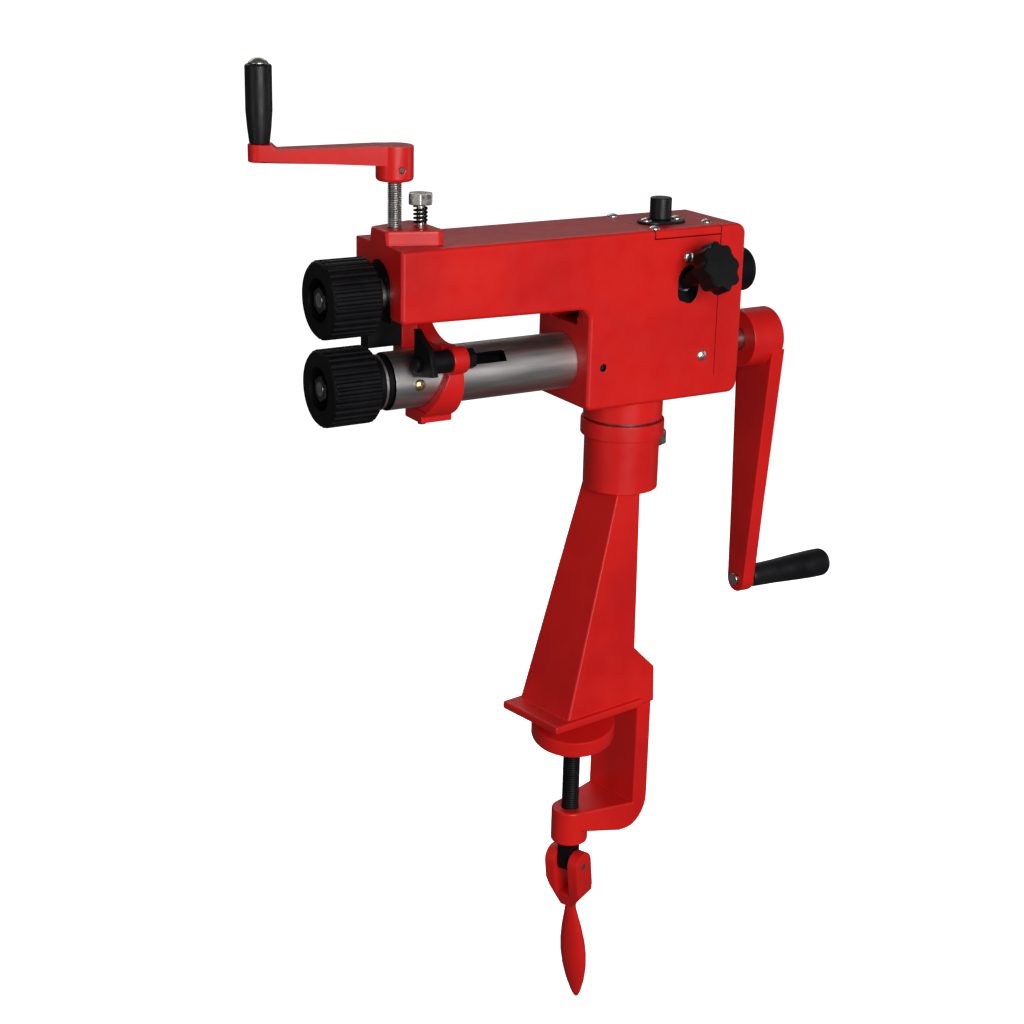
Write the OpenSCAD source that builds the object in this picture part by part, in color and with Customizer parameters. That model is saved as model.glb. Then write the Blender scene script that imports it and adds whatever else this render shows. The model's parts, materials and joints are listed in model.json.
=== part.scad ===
// Bench bead roller with a swivelling head, a hand crank and a bench clamp.
// Origin: swivel axis at the bench face under the clamp plate. +X runs along the shafts to the crank.

/* [Bench stand] */
// Turn of the stand about the swivel, in degrees
stand_turn = 9; // [0:1:20]
// Length of the bench plate, front to back
plate_len = 90; // [84:1:104]
// Width of the bench plate
plate_w = 64; // [62:1:76]
// Thickness of the bench plate
plate_t = 6.5; // [5:0.5:9]
// Distance from the swivel axis back to the rear edge of the plate
plate_back = 5; // [4:0.5:8]
// Width of the column at the plate
column_foot_w = 58; // [54:1:60]
// Length of the column at the plate
column_foot_len = 75; // [68:1:78]
// Width of the column under the collar
column_top_w = 41; // [36:1:44]
// Length of the column under the collar
column_top_len = 24; // [22:1:28]
// Thickness of the spine behind the bench edge
spine_t = 15; // [13:1:20]
// Width of the spine
spine_w = 52; // [48:1:56]
// Height of the sloping shoulder where the spine meets the column
shoulder_h = 20; // [16:1:24]

/* [Bench clamp] */
// Clear height between the plate and the lower jaw
jaw_gap = 85.4; // [82:0.2:92]
// Thickness of the lower jaw at its boss
jaw_t = 17; // [15:1:20]
// Thickness of the lower jaw at the spine
jaw_root_t = 23; // [21:1:27]
// Outer corner radius of the lower jaw
jaw_corner_r = 26; // [20:1:30]
// Distance from the swivel axis forward to the clamp screw
clamp_reach = 39.5; // [36:0.5:44]
// Radius of the screw boss
boss_r = 14.6; // [13:0.2:16]
// Length of the boss below the top of the jaw
boss_len = 28.6; // [25:0.2:32]
// Radius of the clamp screw
clamp_screw_r = 6.8; // [6:0.1:7.4]
// Radius of the pressure pad
pad_r = 32.5; // [28:0.5:34]
// Thickness of the pressure pad
pad_t = 14; // [13:0.5:16]
// Lean of the pressure pad on its ball, in degrees
pad_lean = 12; // [8:1:14]
// Depth of the pad's ball below the bench face
ball_depth = 15.8; // [15.6:0.1:18]
// Radius of the ball
ball_r = 6.4; // [6:0.1:6.8]
// Depth of the lever pin below the bench face
lever_pin_depth = 135; // [132:1:140]
// Radius of the lever pin
lever_pin_r = 2.6; // [2:0.1:3]
// Turn of the lever pin seen from above, in degrees
lever_pin_turn = -67; // [-90:1:-45]
// Width of the lever's fork along its pin
fork_w = 31; // [29:1:34]
// Lean of the hanging lever on its pin, in degrees
lever_lean = 8; // [0:1:12]
// Depth of the fork across its pin
fork_depth = 21; // [19:1:24]
// Distance from the lever pin to the lever's tip
lever_len = 135; // [125:1:145]
// Greatest width of the lever's leaf
leaf_w = 24; // [20:1:27]
// Greatest thickness of the lever's leaf
leaf_t = 13; // [10:1:16]

/* [Swivel] */
// Height of the neck between the top of the collar and the head
neck_len = 18.5; // [16:0.5:22]
// Length of the collar
collar_len = 53.5; // [50:0.5:56]
// Radius of the collar
collar_r = 28.5; // [28:0.1:30]
// Radius of the band round the top of the collar
band_r = 31.7; // [30.5:0.1:33]
// Height of the band
band_h = 12; // [8:0.5:14]
// Radius of the neck under the head
neck_r = 30; // [29:0.1:31.5]
// Radius of the steel spigot in the collar
spigot_r = 23; // [21:0.1:23.5]
// Radius of the bolt that locks the collar
collar_bolt_r = 5; // [4:0.1:5.5]

/* [Head] */
// Height of the gearbox underside above the bench face
head_z = 247; // [246:0.5:256]
// Distance from the swivel axis forward to the gearbox front
box_front = 55.5; // [54:0.5:58]
// Length of the gearbox
box_len = 135; // [132:1:142]
// Width of the head
head_w = 70; // [68:1:76]
// Height of the head
head_h = 128; // [126:1:134]
// Length of the arm in front of the gearbox
arm_len = 151; // [148:1:154]
// Height of the arm where it leaves the gearbox
arm_root_h = 53; // [52:0.5:54]
// Height of the arm at its nose
arm_nose_h = 50.5; // [50:0.5:52]
// Thickness of the side walls of the gearbox
wall_t = 10; // [8:0.5:11]
// Thickness of the front wall of the gearbox
front_wall_t = 22; // [20:0.5:24]
// Length of the top cover
top_cover_len = 58.5; // [57:0.5:60]
// Thickness of the top cover
top_cover_t = 6.5; // [6:0.5:7]
// Thickness of the rear cover along the shafts
rear_cover_len = 23; // [22:0.5:26]
// Height of the sill of the casting below the rear cover
rear_sill_h = 15.7; // [14:0.1:16.5]
// Corner radius of the gearbox in side view
head_corner_r = 8; // [6:0.5:10]

/* [Shafts and rolls] */
// Height of the lower shaft above the gearbox underside
lower_axis_h = 31.3; // [31:0.1:31.6]
// Distance between the two shafts, rolls apart
axis_gap = 61.3; // [61.2:0.1:61.6]
// Radius of the shafts
shaft_r = 11; // [10.5:0.1:11]
// Radius of the rolls
roll_r = 27.1; // [26:0.1:27.2]
// Length of the rolls
roll_len = 36.6; // [34:0.2:38]
// Distance from the nose to the front of the rolls
roll_out = 45.3; // [45:0.1:46.5]
// Radius of the recess in the face of a roll
recess_r = 15.1; // [14:0.1:17]
// Depth of the recess in the face of a roll
recess_depth = 10.5; // [10:0.5:12]
// Number of flutes on a roll
flutes = 32; // [24:1:36]
// Teeth on each gear
teeth = 24; // [24:1:24]
// Width of the gears
gear_w = 16; // [12:1:17]
// Radius of the outside of the lower shaft's tube
tube_r = 20.5; // [20:0.1:21]
// Radius of the bore of the tube
tube_bore_r = 15; // [14:0.1:16]

/* [Hold-down] */
// Distance from the nose back to the hold-down screw
down_in = 12.6; // [12:0.2:14]
// Radius of the hold-down screw
down_screw_r = 5; // [4.5:0.1:5.5]
// Height of the pad on the nose
nose_pad_h = 10; // [8:0.5:12]
// Height of the crank hub's underside above the nose pad
down_hub_rise = 31.5; // [30:0.5:36]
// Height of the hold-down crank's hub
down_hub_h = 24; // [20:1:28]
// Radius of the hold-down crank's hub
down_hub_r = 12.9; // [12:0.1:14]
// Length of the hold-down crank
down_arm_len = 89.6; // [80:0.2:100]
// Turn of the hold-down crank from straight forward, in degrees
down_arm_turn = 24; // [0:1:45]
// Length of the hold-down grip
down_grip_len = 51.5; // [44:0.5:60]
// Radius of the hold-down grip at its thick end
down_grip_r = 9; // [8:0.1:10]
// Height of the return spring at rest
spring_h = 14.4; // [13.8:0.2:16]
// Number of curls in the return spring
spring_turns = 4; // [3:1:4]

/* [Crank] */
// Gap between the gearbox and the crank's hub
crank_gap = 25; // [22:0.5:30]
// Length of the crank's hub
crank_hub_len = 28.6; // [26:0.2:32]
// Radius of the crank's hub
crank_hub_r = 22.5; // [20:0.5:24]
// Distance from the shaft to the crank's grip
crank_len = 200; // [180:1:210]
// Thickness of the crank's arm
crank_arm_t = 10.5; // [9:0.5:13]
// Length of the crank's grip
crank_grip_len = 78.5; // [70:0.5:90]
// Radius of the crank's grip at its thick end
crank_grip_r = 11.5; // [10:0.1:13]

/* [Guide] */
// Distance from the tube's front to the front of the guide's ring
guide_in = 37; // [36:0.5:60]
// Thickness of the guide's ring
guide_ring_t = 12; // [10:0.5:16]
// Radius of the guide's ring
guide_ring_r = 28.5; // [27:0.1:29.5]

/* [Knobs] */
// Radius of the star knob
star_r = 18.8; // [16:0.2:20]
// Distance from the head to the face of the star knob, along its axis
star_out = 34; // [32:0.5:40]
// Rise of the star knob's axis above level, in degrees
star_rise = 25; // [20:1:40]
// Turn of the star knob's axis seen from above, in degrees
star_turn = -77; // [-90:1:-70]
// Radius of the top knob
top_knob_r = 8; // [7:0.1:9]
// Height of the top knob above the cover
top_knob_h = 17.8; // [16:0.2:20]
// Radius of the rear knob
rear_knob_r = 16.5; // [12:0.1:17.5]
// Length of the rear knob
rear_knob_len = 20; // [12:0.5:20.5]

/* [Hidden] */
$fn = 48;

// Clearances and cuts
run_fit = 0.05; // radial clearance of a turning or sliding fit
ball_fit = 0.1; // radial clearance of a ball in its socket
face_gap = 0.3; // gap between faces of pieces that move past each other
side_gap = 0.5; // wider gap where a piece tilts or swings
over = 1; // overrun of every cut

// Colours
red = [0.80, 0.10, 0.09];
black = [0.10, 0.10, 0.11];
steel = [0.66, 0.66, 0.65];
zinc = [0.75, 0.73, 0.68];
brass = [0.72, 0.58, 0.30];

// Places along the shafts, X
box_x0 = -box_front;
box_x1 = box_x0 + box_len;
nose_x = box_x0 - arm_len;
cover_x0 = box_x1 - rear_cover_len;
top_cover_x0 = cover_x0 - top_cover_len;
roll_x0 = nose_x - roll_out;
roll_x1 = roll_x0 + roll_len;
down_x = nose_x + down_in;
chamber_x0 = box_x0 + front_wall_t;
rear_wall_t = 8;
chamber_x1 = cover_x0 - rear_wall_t;
bush_depth = 11.5; // how far the rear bearings reach into the rear cover
bearing_x1 = cover_x0 + bush_depth;
crank_x0 = box_x1 + crank_gap;
crank_x1 = crank_x0 + crank_hub_len;

// Heights, Z
axis_z = head_z + lower_axis_h;
upper_z = axis_z + axis_gap;
head_top = head_z + head_h;
arm_z = head_top - arm_root_h;
nose_z = head_top - arm_nose_h;
cover_z = head_top - top_cover_t;
sill_z = head_z + rear_sill_h;
pad_top = head_top + nose_pad_h;
hub_z0 = pad_top + down_hub_rise;
hub_z1 = hub_z0 + down_hub_h;
collar_top = head_z - neck_len;
collar_z0 = collar_top - collar_len;
jaw_z = -jaw_gap;
boss_z = jaw_z - boss_len;
pin_z = -lever_pin_depth;

// Rolls, gears and shafts
nose_r = 8; // shaft through a roll
stud_r = 5; // thread at the end of a shaft
tail_r = 8.5; // lower shaft outside the gearbox
washer_t = 2;
nut_af = 16;
nut_t = 7.5;
roll_chamfer = 2;
flute_r = 1.7;
gear_pitch_r = axis_gap / 2;
tooth_out = 1.65; // height of a tooth outside the pitch circle
tooth_in = 3.65; // depth of a tooth inside the pitch circle
gear_out_r = gear_pitch_r + tooth_out;
gear_root_r = gear_pitch_r - tooth_in;
tooth_tip_w = 1.6;
tooth_root_w = 4.8;
key_w = 5;
key_h = 6;
key_len = gear_w - 2 * over;

// Bearings
ball_bush_r = 15;
ball_bush_len = 20;
bush_r = 15; // equals the bore of the tube
rear_bush_r = 16;
socket_r = 19;
ball_in = 1.75; // from the face of the rear cover back to the ball
ball_x = cover_x0 + ball_in;

// Bearing block and the slot in the nose
slot_half = 18;
nose_roof_t = 11; // thickness of the roof over the nose slot
slot_top = head_top - nose_roof_t;
block_len = 40;
block_half = slot_half - face_gap;
block_under = 17.6; // from the shaft down to the bottom of the block
block_z0 = upper_z - block_under;
block_top = slot_top - side_gap - face_gap;
block_x0 = nose_x + over;
block_x1 = block_x0 + block_len;
channel_half = 24;
spring_bolt_in = 19.9; // from the hold-down screw back to the spring's bolt
spring_bolt_x = down_x + spring_bolt_in;
spring_bolt_r = 2.8;
spring_bolt_hole_r = 3.2;
wire_r = 0.8;
coil_r = 4.3;

// Screws
screw_head_r = 4.2;
screw_head_h = 2.4;
screw_shank_r = 1.8;

// A cylinder along X from x0 to x1
module along_x(r, x0, x1) {
  translate([x0, 0, 0])
    rotate([0, 90, 0])
      cylinder(r = r, h = x1 - x0);
}

// A cylinder along Y from y0 to y1
module along_y(r, y0, y1) {
  translate([0, y0, 0])
    rotate([-90, 0, 0])
      cylinder(r = r, h = y1 - y0);
}

// A cylinder along Z from z0 to z1
module along_z(r, z0, z1) {
  translate([0, 0, z0])
    cylinder(r = r, h = z1 - z0);
}

// A box given by its two corners
module block(low, high) {
  translate(low)
    cube(high - low);
}

// A hexagon prism of width af across its flats, along Z
module hex_z(af, z0, z1) {
  translate([0, 0, z0])
    cylinder(r = af / sqrt(3), h = z1 - z0, $fn = 6);
}

// A prism drawn in the XZ plane and centred across Y
module across_y(w) {
  translate([0, w / 2, 0])
    rotate([90, 0, 0])
      linear_extrude(w)
        children();
}

// A prism drawn in the YZ plane that runs along X from x0 to x1
module across_x(x0, x1) {
  translate([x0, 0, 0])
    rotate([90, 0, 90])
      linear_extrude(x1 - x0)
        children();
}

// Points of an arc about a centre, from angle a0 to a1
function arc(c, r, a0, a1, n) =
  [for (i = [0 : n]) c + r * [cos(a0 + (a1 - a0) * i / n), sin(a0 + (a1 - a0) * i / n)]];

// A pan head screw that points down, seat of the head at z
module pan_screw(z, len) {
  along_z(screw_shank_r, z - len, z);
  translate([0, 0, z])
    intersection() {
      cylinder(r = screw_head_r, h = screw_head_h);
      translate([0, 0, -screw_head_r])
        sphere(r = 1.55 * screw_head_r);
    }
}

// STAND AND CLAMP

// Everything on the stand is turned about the swivel axis
module stand_frame() {
  rotate([0, 0, stand_turn])
    children();
}

// Everything on the clamp screw stands on its axis
module clamp_frame() {
  stand_frame()
    translate([-clamp_reach, 0, 0])
      children();
}

// The pad's own frame: origin at the ball, leaned towards the near side
pad_lean_axis_turn = -31.6;
module pad_frame() {
  clamp_frame()
    translate([0, 0, -ball_depth])
      rotate([0, 0, pad_lean_axis_turn - stand_turn])
        rotate([pad_lean, 0, 0])
          children();
}

spine_x1 = plate_back + spine_t;
column_step = 2; // step from the column's back to the front of the spine
column_back = plate_back - column_step;
column_front = column_back - column_foot_len;
shoulder_z = 49; // top of the shoulder above the bench face
column_lean = 4; // how far the column's back leans forward down to the shoulder

// Side view of the column with its shoulder
module column_side() {
  polygon([
    [column_front, 0],
    [column_back - column_top_len, collar_z0],
    [column_back, collar_z0],
    [column_back - column_lean, shoulder_z],
    [spine_x1, shoulder_z - shoulder_h],
    [spine_x1, 0]
  ]);
}

// Front view of the column, narrow at the top
module column_front_view() {
  polygon([
    [-column_foot_w / 2, 0],
    [column_foot_w / 2, 0],
    [column_top_w / 2, collar_z0],
    [-column_top_w / 2, collar_z0]
  ]);
}

// Side view of the spine and the lower jaw
module jaw_side() {
  low = jaw_z - jaw_root_t;
  polygon(concat(
    [[plate_back, plate_t], [plate_back, jaw_z], [-clamp_reach, jaw_z], [-clamp_reach, jaw_z - jaw_t]],
    arc([spine_x1 - jaw_corner_r, low + jaw_corner_r], jaw_corner_r, -90, 0, 8),
    [[spine_x1, plate_t]]
  ));
}

// Plan of the jaw, which narrows from the spine to the boss
module jaw_plan() {
  polygon([
    [-clamp_reach, -boss_r],
    [plate_back, -spine_w / 2],
    [spine_x1, -spine_w / 2],
    [spine_x1, spine_w / 2],
    [plate_back, spine_w / 2],
    [-clamp_reach, boss_r]
  ]);
}

module stand_casting() {
  jaw_low = jaw_z - jaw_root_t - over;
  color(red)
    stand_frame()
      difference() {
        union() {
          along_z(collar_r, collar_z0, collar_top);
          along_z(band_r, collar_top - band_h, collar_top);
          intersection() {
            across_y(plate_w) column_side();
            across_x(column_front - over, spine_x1 + over) column_front_view();
          }
          translate([plate_back - plate_len, -plate_w / 2, 0])
            cube([plate_len, plate_w, plate_t]);
          intersection() {
            across_y(spine_w) jaw_side();
            translate([0, 0, jaw_low])
              linear_extrude(plate_t - jaw_low)
                jaw_plan();
          }
          translate([-clamp_reach, 0, 0])
            along_z(boss_r, boss_z, jaw_z);
        }
        along_z(spigot_r + run_fit, spigot_z0 - face_gap, collar_top + over);
        translate([0, 0, collar_bolt_z])
          along_x(collar_bolt_r + run_fit, 0, collar_r + over);
        translate([-clamp_reach, 0, 0])
          along_z(clamp_screw_r + run_fit, boss_z - over, jaw_z + over);
      }
}

collar_floor = 5; // solid floor under the spigot
spigot_z0 = collar_z0 + collar_floor;
collar_bolt_drop = 8.5; // from the band down to the bolt
collar_bolt_z = collar_top - band_h - collar_bolt_drop;
collar_nut_af = 17;
collar_nut_t = 4;
collar_head_t = 6.5;

module collar_bolt() {
  nut_x = collar_r + face_gap;
  head_x = nut_x + collar_nut_t;
  tip_x = spigot_r + 2 * face_gap;
  color(zinc)
    stand_frame()
      translate([0, 0, collar_bolt_z]) {
        along_x(collar_bolt_r, tip_x, head_x);
        along_x(collar_nut_af / 2, nut_x, head_x);
        rotate([0, 90, 0])
          hex_z(collar_nut_af, head_x, head_x + collar_head_t);
      }
}

neck_ball_r = 4; // neck of the screw under its ball
neck_room = 2.1; // gap round the neck in the pad's mouth
washer_drop = 2.2; // from the pad down to the washer, for the pad's lean
washer_z = -ball_depth - pad_t / 2 - washer_drop;
washer_h = 1.4;
shoulder_top = washer_z - washer_h - face_gap;
tongue_t = 12;
tongue_w = 2 * clamp_screw_r;
tongue_drop = 3.5; // from the boss down to the flats of the tongue
tongue_top = boss_z - tongue_drop;

// Turns X to the direction of the lever pin
module lever_frame() {
  clamp_frame()
    rotate([0, 0, lever_pin_turn - stand_turn])
      children();
}

// The lever hangs a little to one side of its screw
module lever_swing() {
  lever_frame()
    translate([0, 0, pin_z])
      rotate([lever_lean, 0, 0])
        translate([0, 0, -pin_z])
          children();
}

module clamp_screw() {
  color(black) {
    clamp_frame() {
      translate([0, 0, -ball_depth])
        sphere(r = ball_r);
      along_z(neck_ball_r, shoulder_top, -ball_depth);
      along_z(clamp_screw_r, tongue_top - over, shoulder_top);
    }
    lever_frame()
      difference() {
        union() {
          block([-tongue_t / 2, -tongue_w / 2, pin_z], [tongue_t / 2, tongue_w / 2, tongue_top]);
          translate([0, 0, pin_z])
            along_x(tongue_w / 2, -tongue_t / 2, tongue_t / 2);
        }
        translate([0, 0, pin_z])
          along_x(lever_pin_r, -tongue_t, tongue_t);
      }
  }
}

module pad_washer() {
  color(steel)
    clamp_frame()
      difference() {
        along_z(2 * neck_ball_r, washer_z - washer_h, washer_z);
        along_z(neck_ball_r + run_fit, washer_z - washer_h - over, washer_z + over);
      }
}

module clamp_pad() {
  mouth_r = neck_ball_r + neck_room;
  color(red)
    pad_frame()
      difference() {
        along_z(pad_r, -pad_t / 2, pad_t / 2);
        sphere(r = ball_r + ball_fit);
        along_z(mouth_r, -pad_t / 2 - over, 0);
      }
}

module lever_pin() {
  color(black)
    lever_frame()
      translate([0, 0, pin_z])
        along_x(lever_pin_r, -fork_w / 2, fork_w / 2);
}

// Half width of the leaf along its length, as shares of the length below the neck and of the half width
leaf_shares = [
  [0, 0.44], [0.06, 0.43], [0.14, 0.56], [0.26, 0.78], [0.4, 0.95], [0.52, 1],
  [0.66, 0.93], [0.8, 0.72], [0.92, 0.42], [0.975, 0.22], [1, 0]
];
slot_depth = 26; // from the lever pin down to the bottom of the fork's slot
fork_len = 38; // from the lever pin down to the neck
fork_top = 12.5; // from the lever pin up to the top of the ears

// Outline of the fork seen across its pin
module fork_outline() {
  low = pin_z - fork_len;
  neck = leaf_w * leaf_shares[0][1] / 2;
  polygon([
    [-neck, low - over],
    [-fork_w / 2, pin_z - slot_depth + fork_top],
    [-fork_w / 2, pin_z + fork_top],
    [fork_w / 2, pin_z + fork_top],
    [fork_w / 2, pin_z - slot_depth],
    [neck, low - over]
  ]);
}

// Outline of the fork seen along its pin
module fork_side() {
  half = fork_depth / 2;
  union() {
    translate([0, pin_z + fork_top - half])
      circle(r = half);
    polygon([
      [-half, pin_z + fork_top - half],
      [half, pin_z + fork_top - half],
      [half, pin_z - slot_depth + half / 2],
      [leaf_t / 2, pin_z - fork_len - over],
      [-leaf_t / 2, pin_z - fork_len - over],
      [-half, pin_z - slot_depth + half / 2]
    ]);
  }
}

module clamp_lever() {
  slot_half_w = tongue_t / 2 + face_gap;
  leaf_len = lever_len - fork_len;
  color(red)
    lever_swing() {
      difference() {
        intersection() {
          across_y(2 * fork_depth) fork_outline();
          across_x(-fork_w, fork_w) fork_side();
        }
        block([-slot_half_w, -fork_depth, pin_z - slot_depth], [slot_half_w, fork_depth, pin_z + 2 * fork_top]);
        translate([0, 0, pin_z])
          along_x(lever_pin_r + run_fit, -fork_w, fork_w);
      }
      translate([0, 0, pin_z - fork_len])
        scale([1, leaf_t / leaf_w, 1])
          rotate_extrude($fn = 28)
            polygon(concat(
              [[0, 0]],
              [for (s = leaf_shares) [s[1] * leaf_w / 2, -s[0] * leaf_len]]
            ));
    }
}

// HEAD

// Frame of the star knob's seat in the near wall: Z runs out along the knob, X down the slot about it
star_seat_back = 49.9; // from the star knob's seat to the rear of the gearbox
star_in_x = box_x1 - star_seat_back;
star_seat_z = 90.4; // height of the seat above the gearbox underside
star_hole_r = 9;
star_slot_len = 8;
star_hole_depth = 8;
star_thread_r = 4;
star_boss_wall = 4;
star_boss_len = 14;
module star_frame() {
  translate([star_in_x, -head_w / 2, head_z + star_seat_z])
    rotate([0, 90 - star_rise, star_turn])
      children();
}

// The slot, or with a wider radius the boss round it, from z0 to z1 in the star knob's frame
module star_slot(r, z0, z1) {
  translate([0, 0, z0])
    linear_extrude(z1 - z0)
      union() {
        circle(r = r);
        translate([0, -r])
          square([star_slot_len, 2 * r]);
        translate([star_slot_len, 0])
          circle(r = r);
      }
}

// Side view of the whole head with its round corners
module head_side() {
  r = head_corner_r;
  small = r / 2;
  polygon(concat(
    arc([box_x0 + small, head_z + small], small, 180, 270, 4),
    arc([box_x1 - r, head_z + r], r, -90, 0, 6),
    arc([box_x1 - r, head_top - r], r, 0, 90, 6),
    [[nose_x, head_top], [nose_x, nose_z + small]],
    arc([nose_x + small, nose_z + small], small, 180, 270, 4),
    arc([box_x0 - r, arm_z - r], r, 90, 0, 6)
  ));
}

// Arched outline of the slot in the nose, seen from the front
module arch(half, low, top) {
  union() {
    translate([-half, low])
      square([2 * half, top - half - low]);
    translate([0, top - half])
      circle(r = half);
  }
}

// Plan of the raised pad on the nose
nose_pad_len = 39.5;
nose_pad_front_half = 12;
nose_pad_rear_half = 24;
module nose_pad_plan() {
  r = nose_pad_front_half / 2;
  rear = nose_x + nose_pad_len;
  polygon(concat(
    [[nose_x, nose_pad_front_half], [nose_x, -nose_pad_front_half]],
    arc([rear - r, -nose_pad_rear_half + r], r, -75, 0, 4),
    arc([rear - r, nose_pad_rear_half - r], r, 0, 75, 4)
  ));
}

// The parts of the casting that the two covers replace
module cover_space(grow) {
  block([top_cover_x0 - grow, -head_w, cover_z - grow], [box_x1 + over, head_w, head_top + over]);
  block([cover_x0 - grow, -head_w, sill_z - grow], [box_x1 + over, head_w, head_top + over]);
}

chamber_floor_t = 8;
chamber_half = head_w / 2 - wall_t;
chamber_floor = head_z + chamber_floor_t;
gear_room = 1.5; // space round each gear
front_window_low = 308; // bottom of the window in the front wall, above the bench face
tube_seat_len = 15; // length of the tube inside the front wall
tube_hole_in = 13; // from the front of the gearbox back to the tube's set screw
tube_screw_r = 2.8;
near_wall_y = -head_w / 2;

// Space for both gears, with pockets in the neck and the roof
module gear_space(z) {
  translate([0, 0, z])
    along_x(gear_out_r + gear_room, -gear_w / 2 - gear_room, gear_w / 2 + gear_room);
}

module head_shell() {
  difference() {
    union() {
      across_y(head_w) head_side();
      along_z(neck_r, collar_top + washer_gap, head_z + over);
      translate([0, 0, head_top - over])
        linear_extrude(nose_pad_h + over)
          nose_pad_plan();
    }
    cover_space(0);
    block([chamber_x0, -chamber_half, chamber_floor], [chamber_x1, chamber_half, head_top - top_cover_t]);
    across_x(nose_x - over, block_x1 + over) arch(slot_half, arm_z - head_corner_r, slot_top);
    block([block_x1, -channel_half, arm_z - head_corner_r], [box_x0 + over, channel_half, slot_top]);
    block([box_x0 - over, -slot_half, front_window_low], [chamber_x0 + over, slot_half, slot_top]);
  }
}

washer_gap = 1.5; // room for the washer between the collar and the neck
spigot_in = 4; // from the gearbox underside down to the top of the spigot

module head_casting() {
  color(red)
    difference() {
      union() {
        head_shell();
        intersection() {
          star_frame()
            star_slot(star_hole_r + star_boss_wall, -star_boss_len, star_hole_depth);
          block([chamber_x0, near_wall_y, chamber_floor], [chamber_x1, 0, cover_z]);
        }
      }
      gear_space(axis_z);
      gear_space(upper_z);
      along_z(spigot_r, collar_top, head_z - spigot_in);
      translate([0, 0, axis_z]) {
        along_x(tube_r, box_x0 - over, box_x0 + tube_seat_len);
        along_x(shaft_r + side_gap, box_x0, chamber_x0 + over);
        along_x(rear_bush_r, chamber_x1 - over, bearing_x1);
      }
      translate([0, 0, upper_z])
        along_x(socket_r, chamber_x1 - over, cover_x0 + over);
      translate([box_x0 + tube_hole_in, 0, axis_z])
        along_y(tube_screw_r, near_wall_y - over, -tube_bore_r);
      star_frame() {
        star_slot(star_hole_r, -star_hole_depth, star_hole_r + star_hole_depth);
        along_z(star_thread_r + run_fit, -2 * star_boss_len, 0);
      }
      translate([down_x, 0, 0])
        along_z(down_nut_r, slot_top - over, pad_top + over);
      translate([spring_bolt_x, 0, 0])
        along_z(spring_bolt_hole_r, slot_top - over, pad_top + over);
      screw_places(cover_screw_places)
        along_z(screw_shank_r, cover_z - cover_screw_len, head_top);
      screw_places(flange_screw_places)
        along_z(screw_shank_r, cover_z - cover_screw_len, head_top);
      side_screw_places()
        along_z(screw_shank_r, -side_screw_len, over);
    }
}

down_nut_r = 8;

// Places of the cover screws, X as shares of the cover's length and Y as shares of the head's width
cover_screw_shares = [[0.0513, -0.416], [0.0821, 0.4], [0.947, -0.287]];
cover_screw_places = [for (s = cover_screw_shares) [top_cover_x0 + s[0] * top_cover_len, s[1] * head_w]];
cover_screw_len = 6;
module screw_places(places) {
  for (p = places)
    translate([p[0], p[1], 0])
      children();
}

// Pan screws in the near side, X and Z as shares of the gearbox
side_screw_shares = [[0.621, 0.831], [0.742, 0.248]];
side_screw_len = 9;
module side_screw_places() {
  for (s = side_screw_shares)
    translate([box_x0 + s[0] * box_len, near_wall_y, head_z + s[1] * head_h])
      rotate([90, 0, 0])
        children();
}

module swivel_spigot() {
  color(steel)
    along_z(spigot_r, spigot_z0, head_z - spigot_in);
}

module collar_washer() {
  color(steel)
    difference() {
      along_z(neck_r - over, collar_top + face_gap, collar_top + washer_gap);
      along_z(spigot_r, collar_top, collar_top + washer_gap + over);
    }
}

tail_room = 0.5;
adjuster_y = -9;
adjuster_drop = 4.6; // from the upper shaft down to the adjuster
adjuster_r = 4;
socket_x1 = bearing_x1;
shaft_end_room = 3;
upper_shaft_x1 = socket_x1 + over;

module rear_cover() {
  color(red)
    difference() {
      intersection() {
        across_y(head_w) head_side();
        block([cover_x0, -head_w, sill_z], [box_x1 + over, head_w, head_top + over]);
      }
      translate([0, 0, axis_z]) {
        along_x(rear_bush_r, cover_x0 - over, bearing_x1);
        along_x(tail_r + tail_room, cover_x0, box_x1 + over);
      }
      translate([0, 0, upper_z]) {
        along_x(socket_r, cover_x0 - over, socket_x1);
        along_x(shaft_r + side_gap + over, cover_x0, socket_x1 + shaft_end_room);
      }
      translate([0, adjuster_y, upper_z - adjuster_drop])
        along_x(adjuster_r + run_fit, cover_x0, box_x1 + over);
    }
}

plunger_back = 33.2; // from the plunger to the rear cover
plunger_x = cover_x0 - plunger_back;
plunger_y = -4.2;
plunger_r = 3.5;
plunger_len = 9; // below the cover's top face
flange_t = 2;
flange_half_w = 11;
flange_half_len = 19;
flange_back = 35; // from the middle of the flange to the rear cover
flange_x = cover_x0 - flange_back;
flange_y = -8;

module top_cover() {
  color(red)
    difference() {
      intersection() {
        across_y(head_w) head_side();
        block([top_cover_x0, -head_w, cover_z], [cover_x0, head_w, head_top]);
      }
      gear_space(upper_z);
      translate([plunger_x, plunger_y, 0])
        along_z(plunger_r + run_fit, cover_z - over, head_top + over);
      screw_places(cover_screw_places)
        along_z(screw_shank_r, cover_z - over, head_top + over);
      screw_places(flange_screw_places)
        along_z(screw_shank_r, cover_z - over, head_top + over);
    }
}

flange_screw_in = 5.5; // from the end of the flange to its screw
flange_screw_grip = 2.4; // length of the flange's screws in the cover, clear of the gear below
flange_screw_places = [
  [flange_x - flange_half_len + flange_screw_in, flange_y],
  [flange_x + flange_half_len - flange_screw_in, flange_y]
];

module cover_screws() {
  color(zinc) {
    screw_places(cover_screw_places)
      pan_screw(head_top, top_cover_t + cover_screw_len);
    screw_places(flange_screw_places)
      pan_screw(head_top + flange_t, flange_t + flange_screw_grip);
  }
}

module side_screws() {
  color(zinc)
    side_screw_places()
      pan_screw(0, side_screw_len);
}

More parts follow.
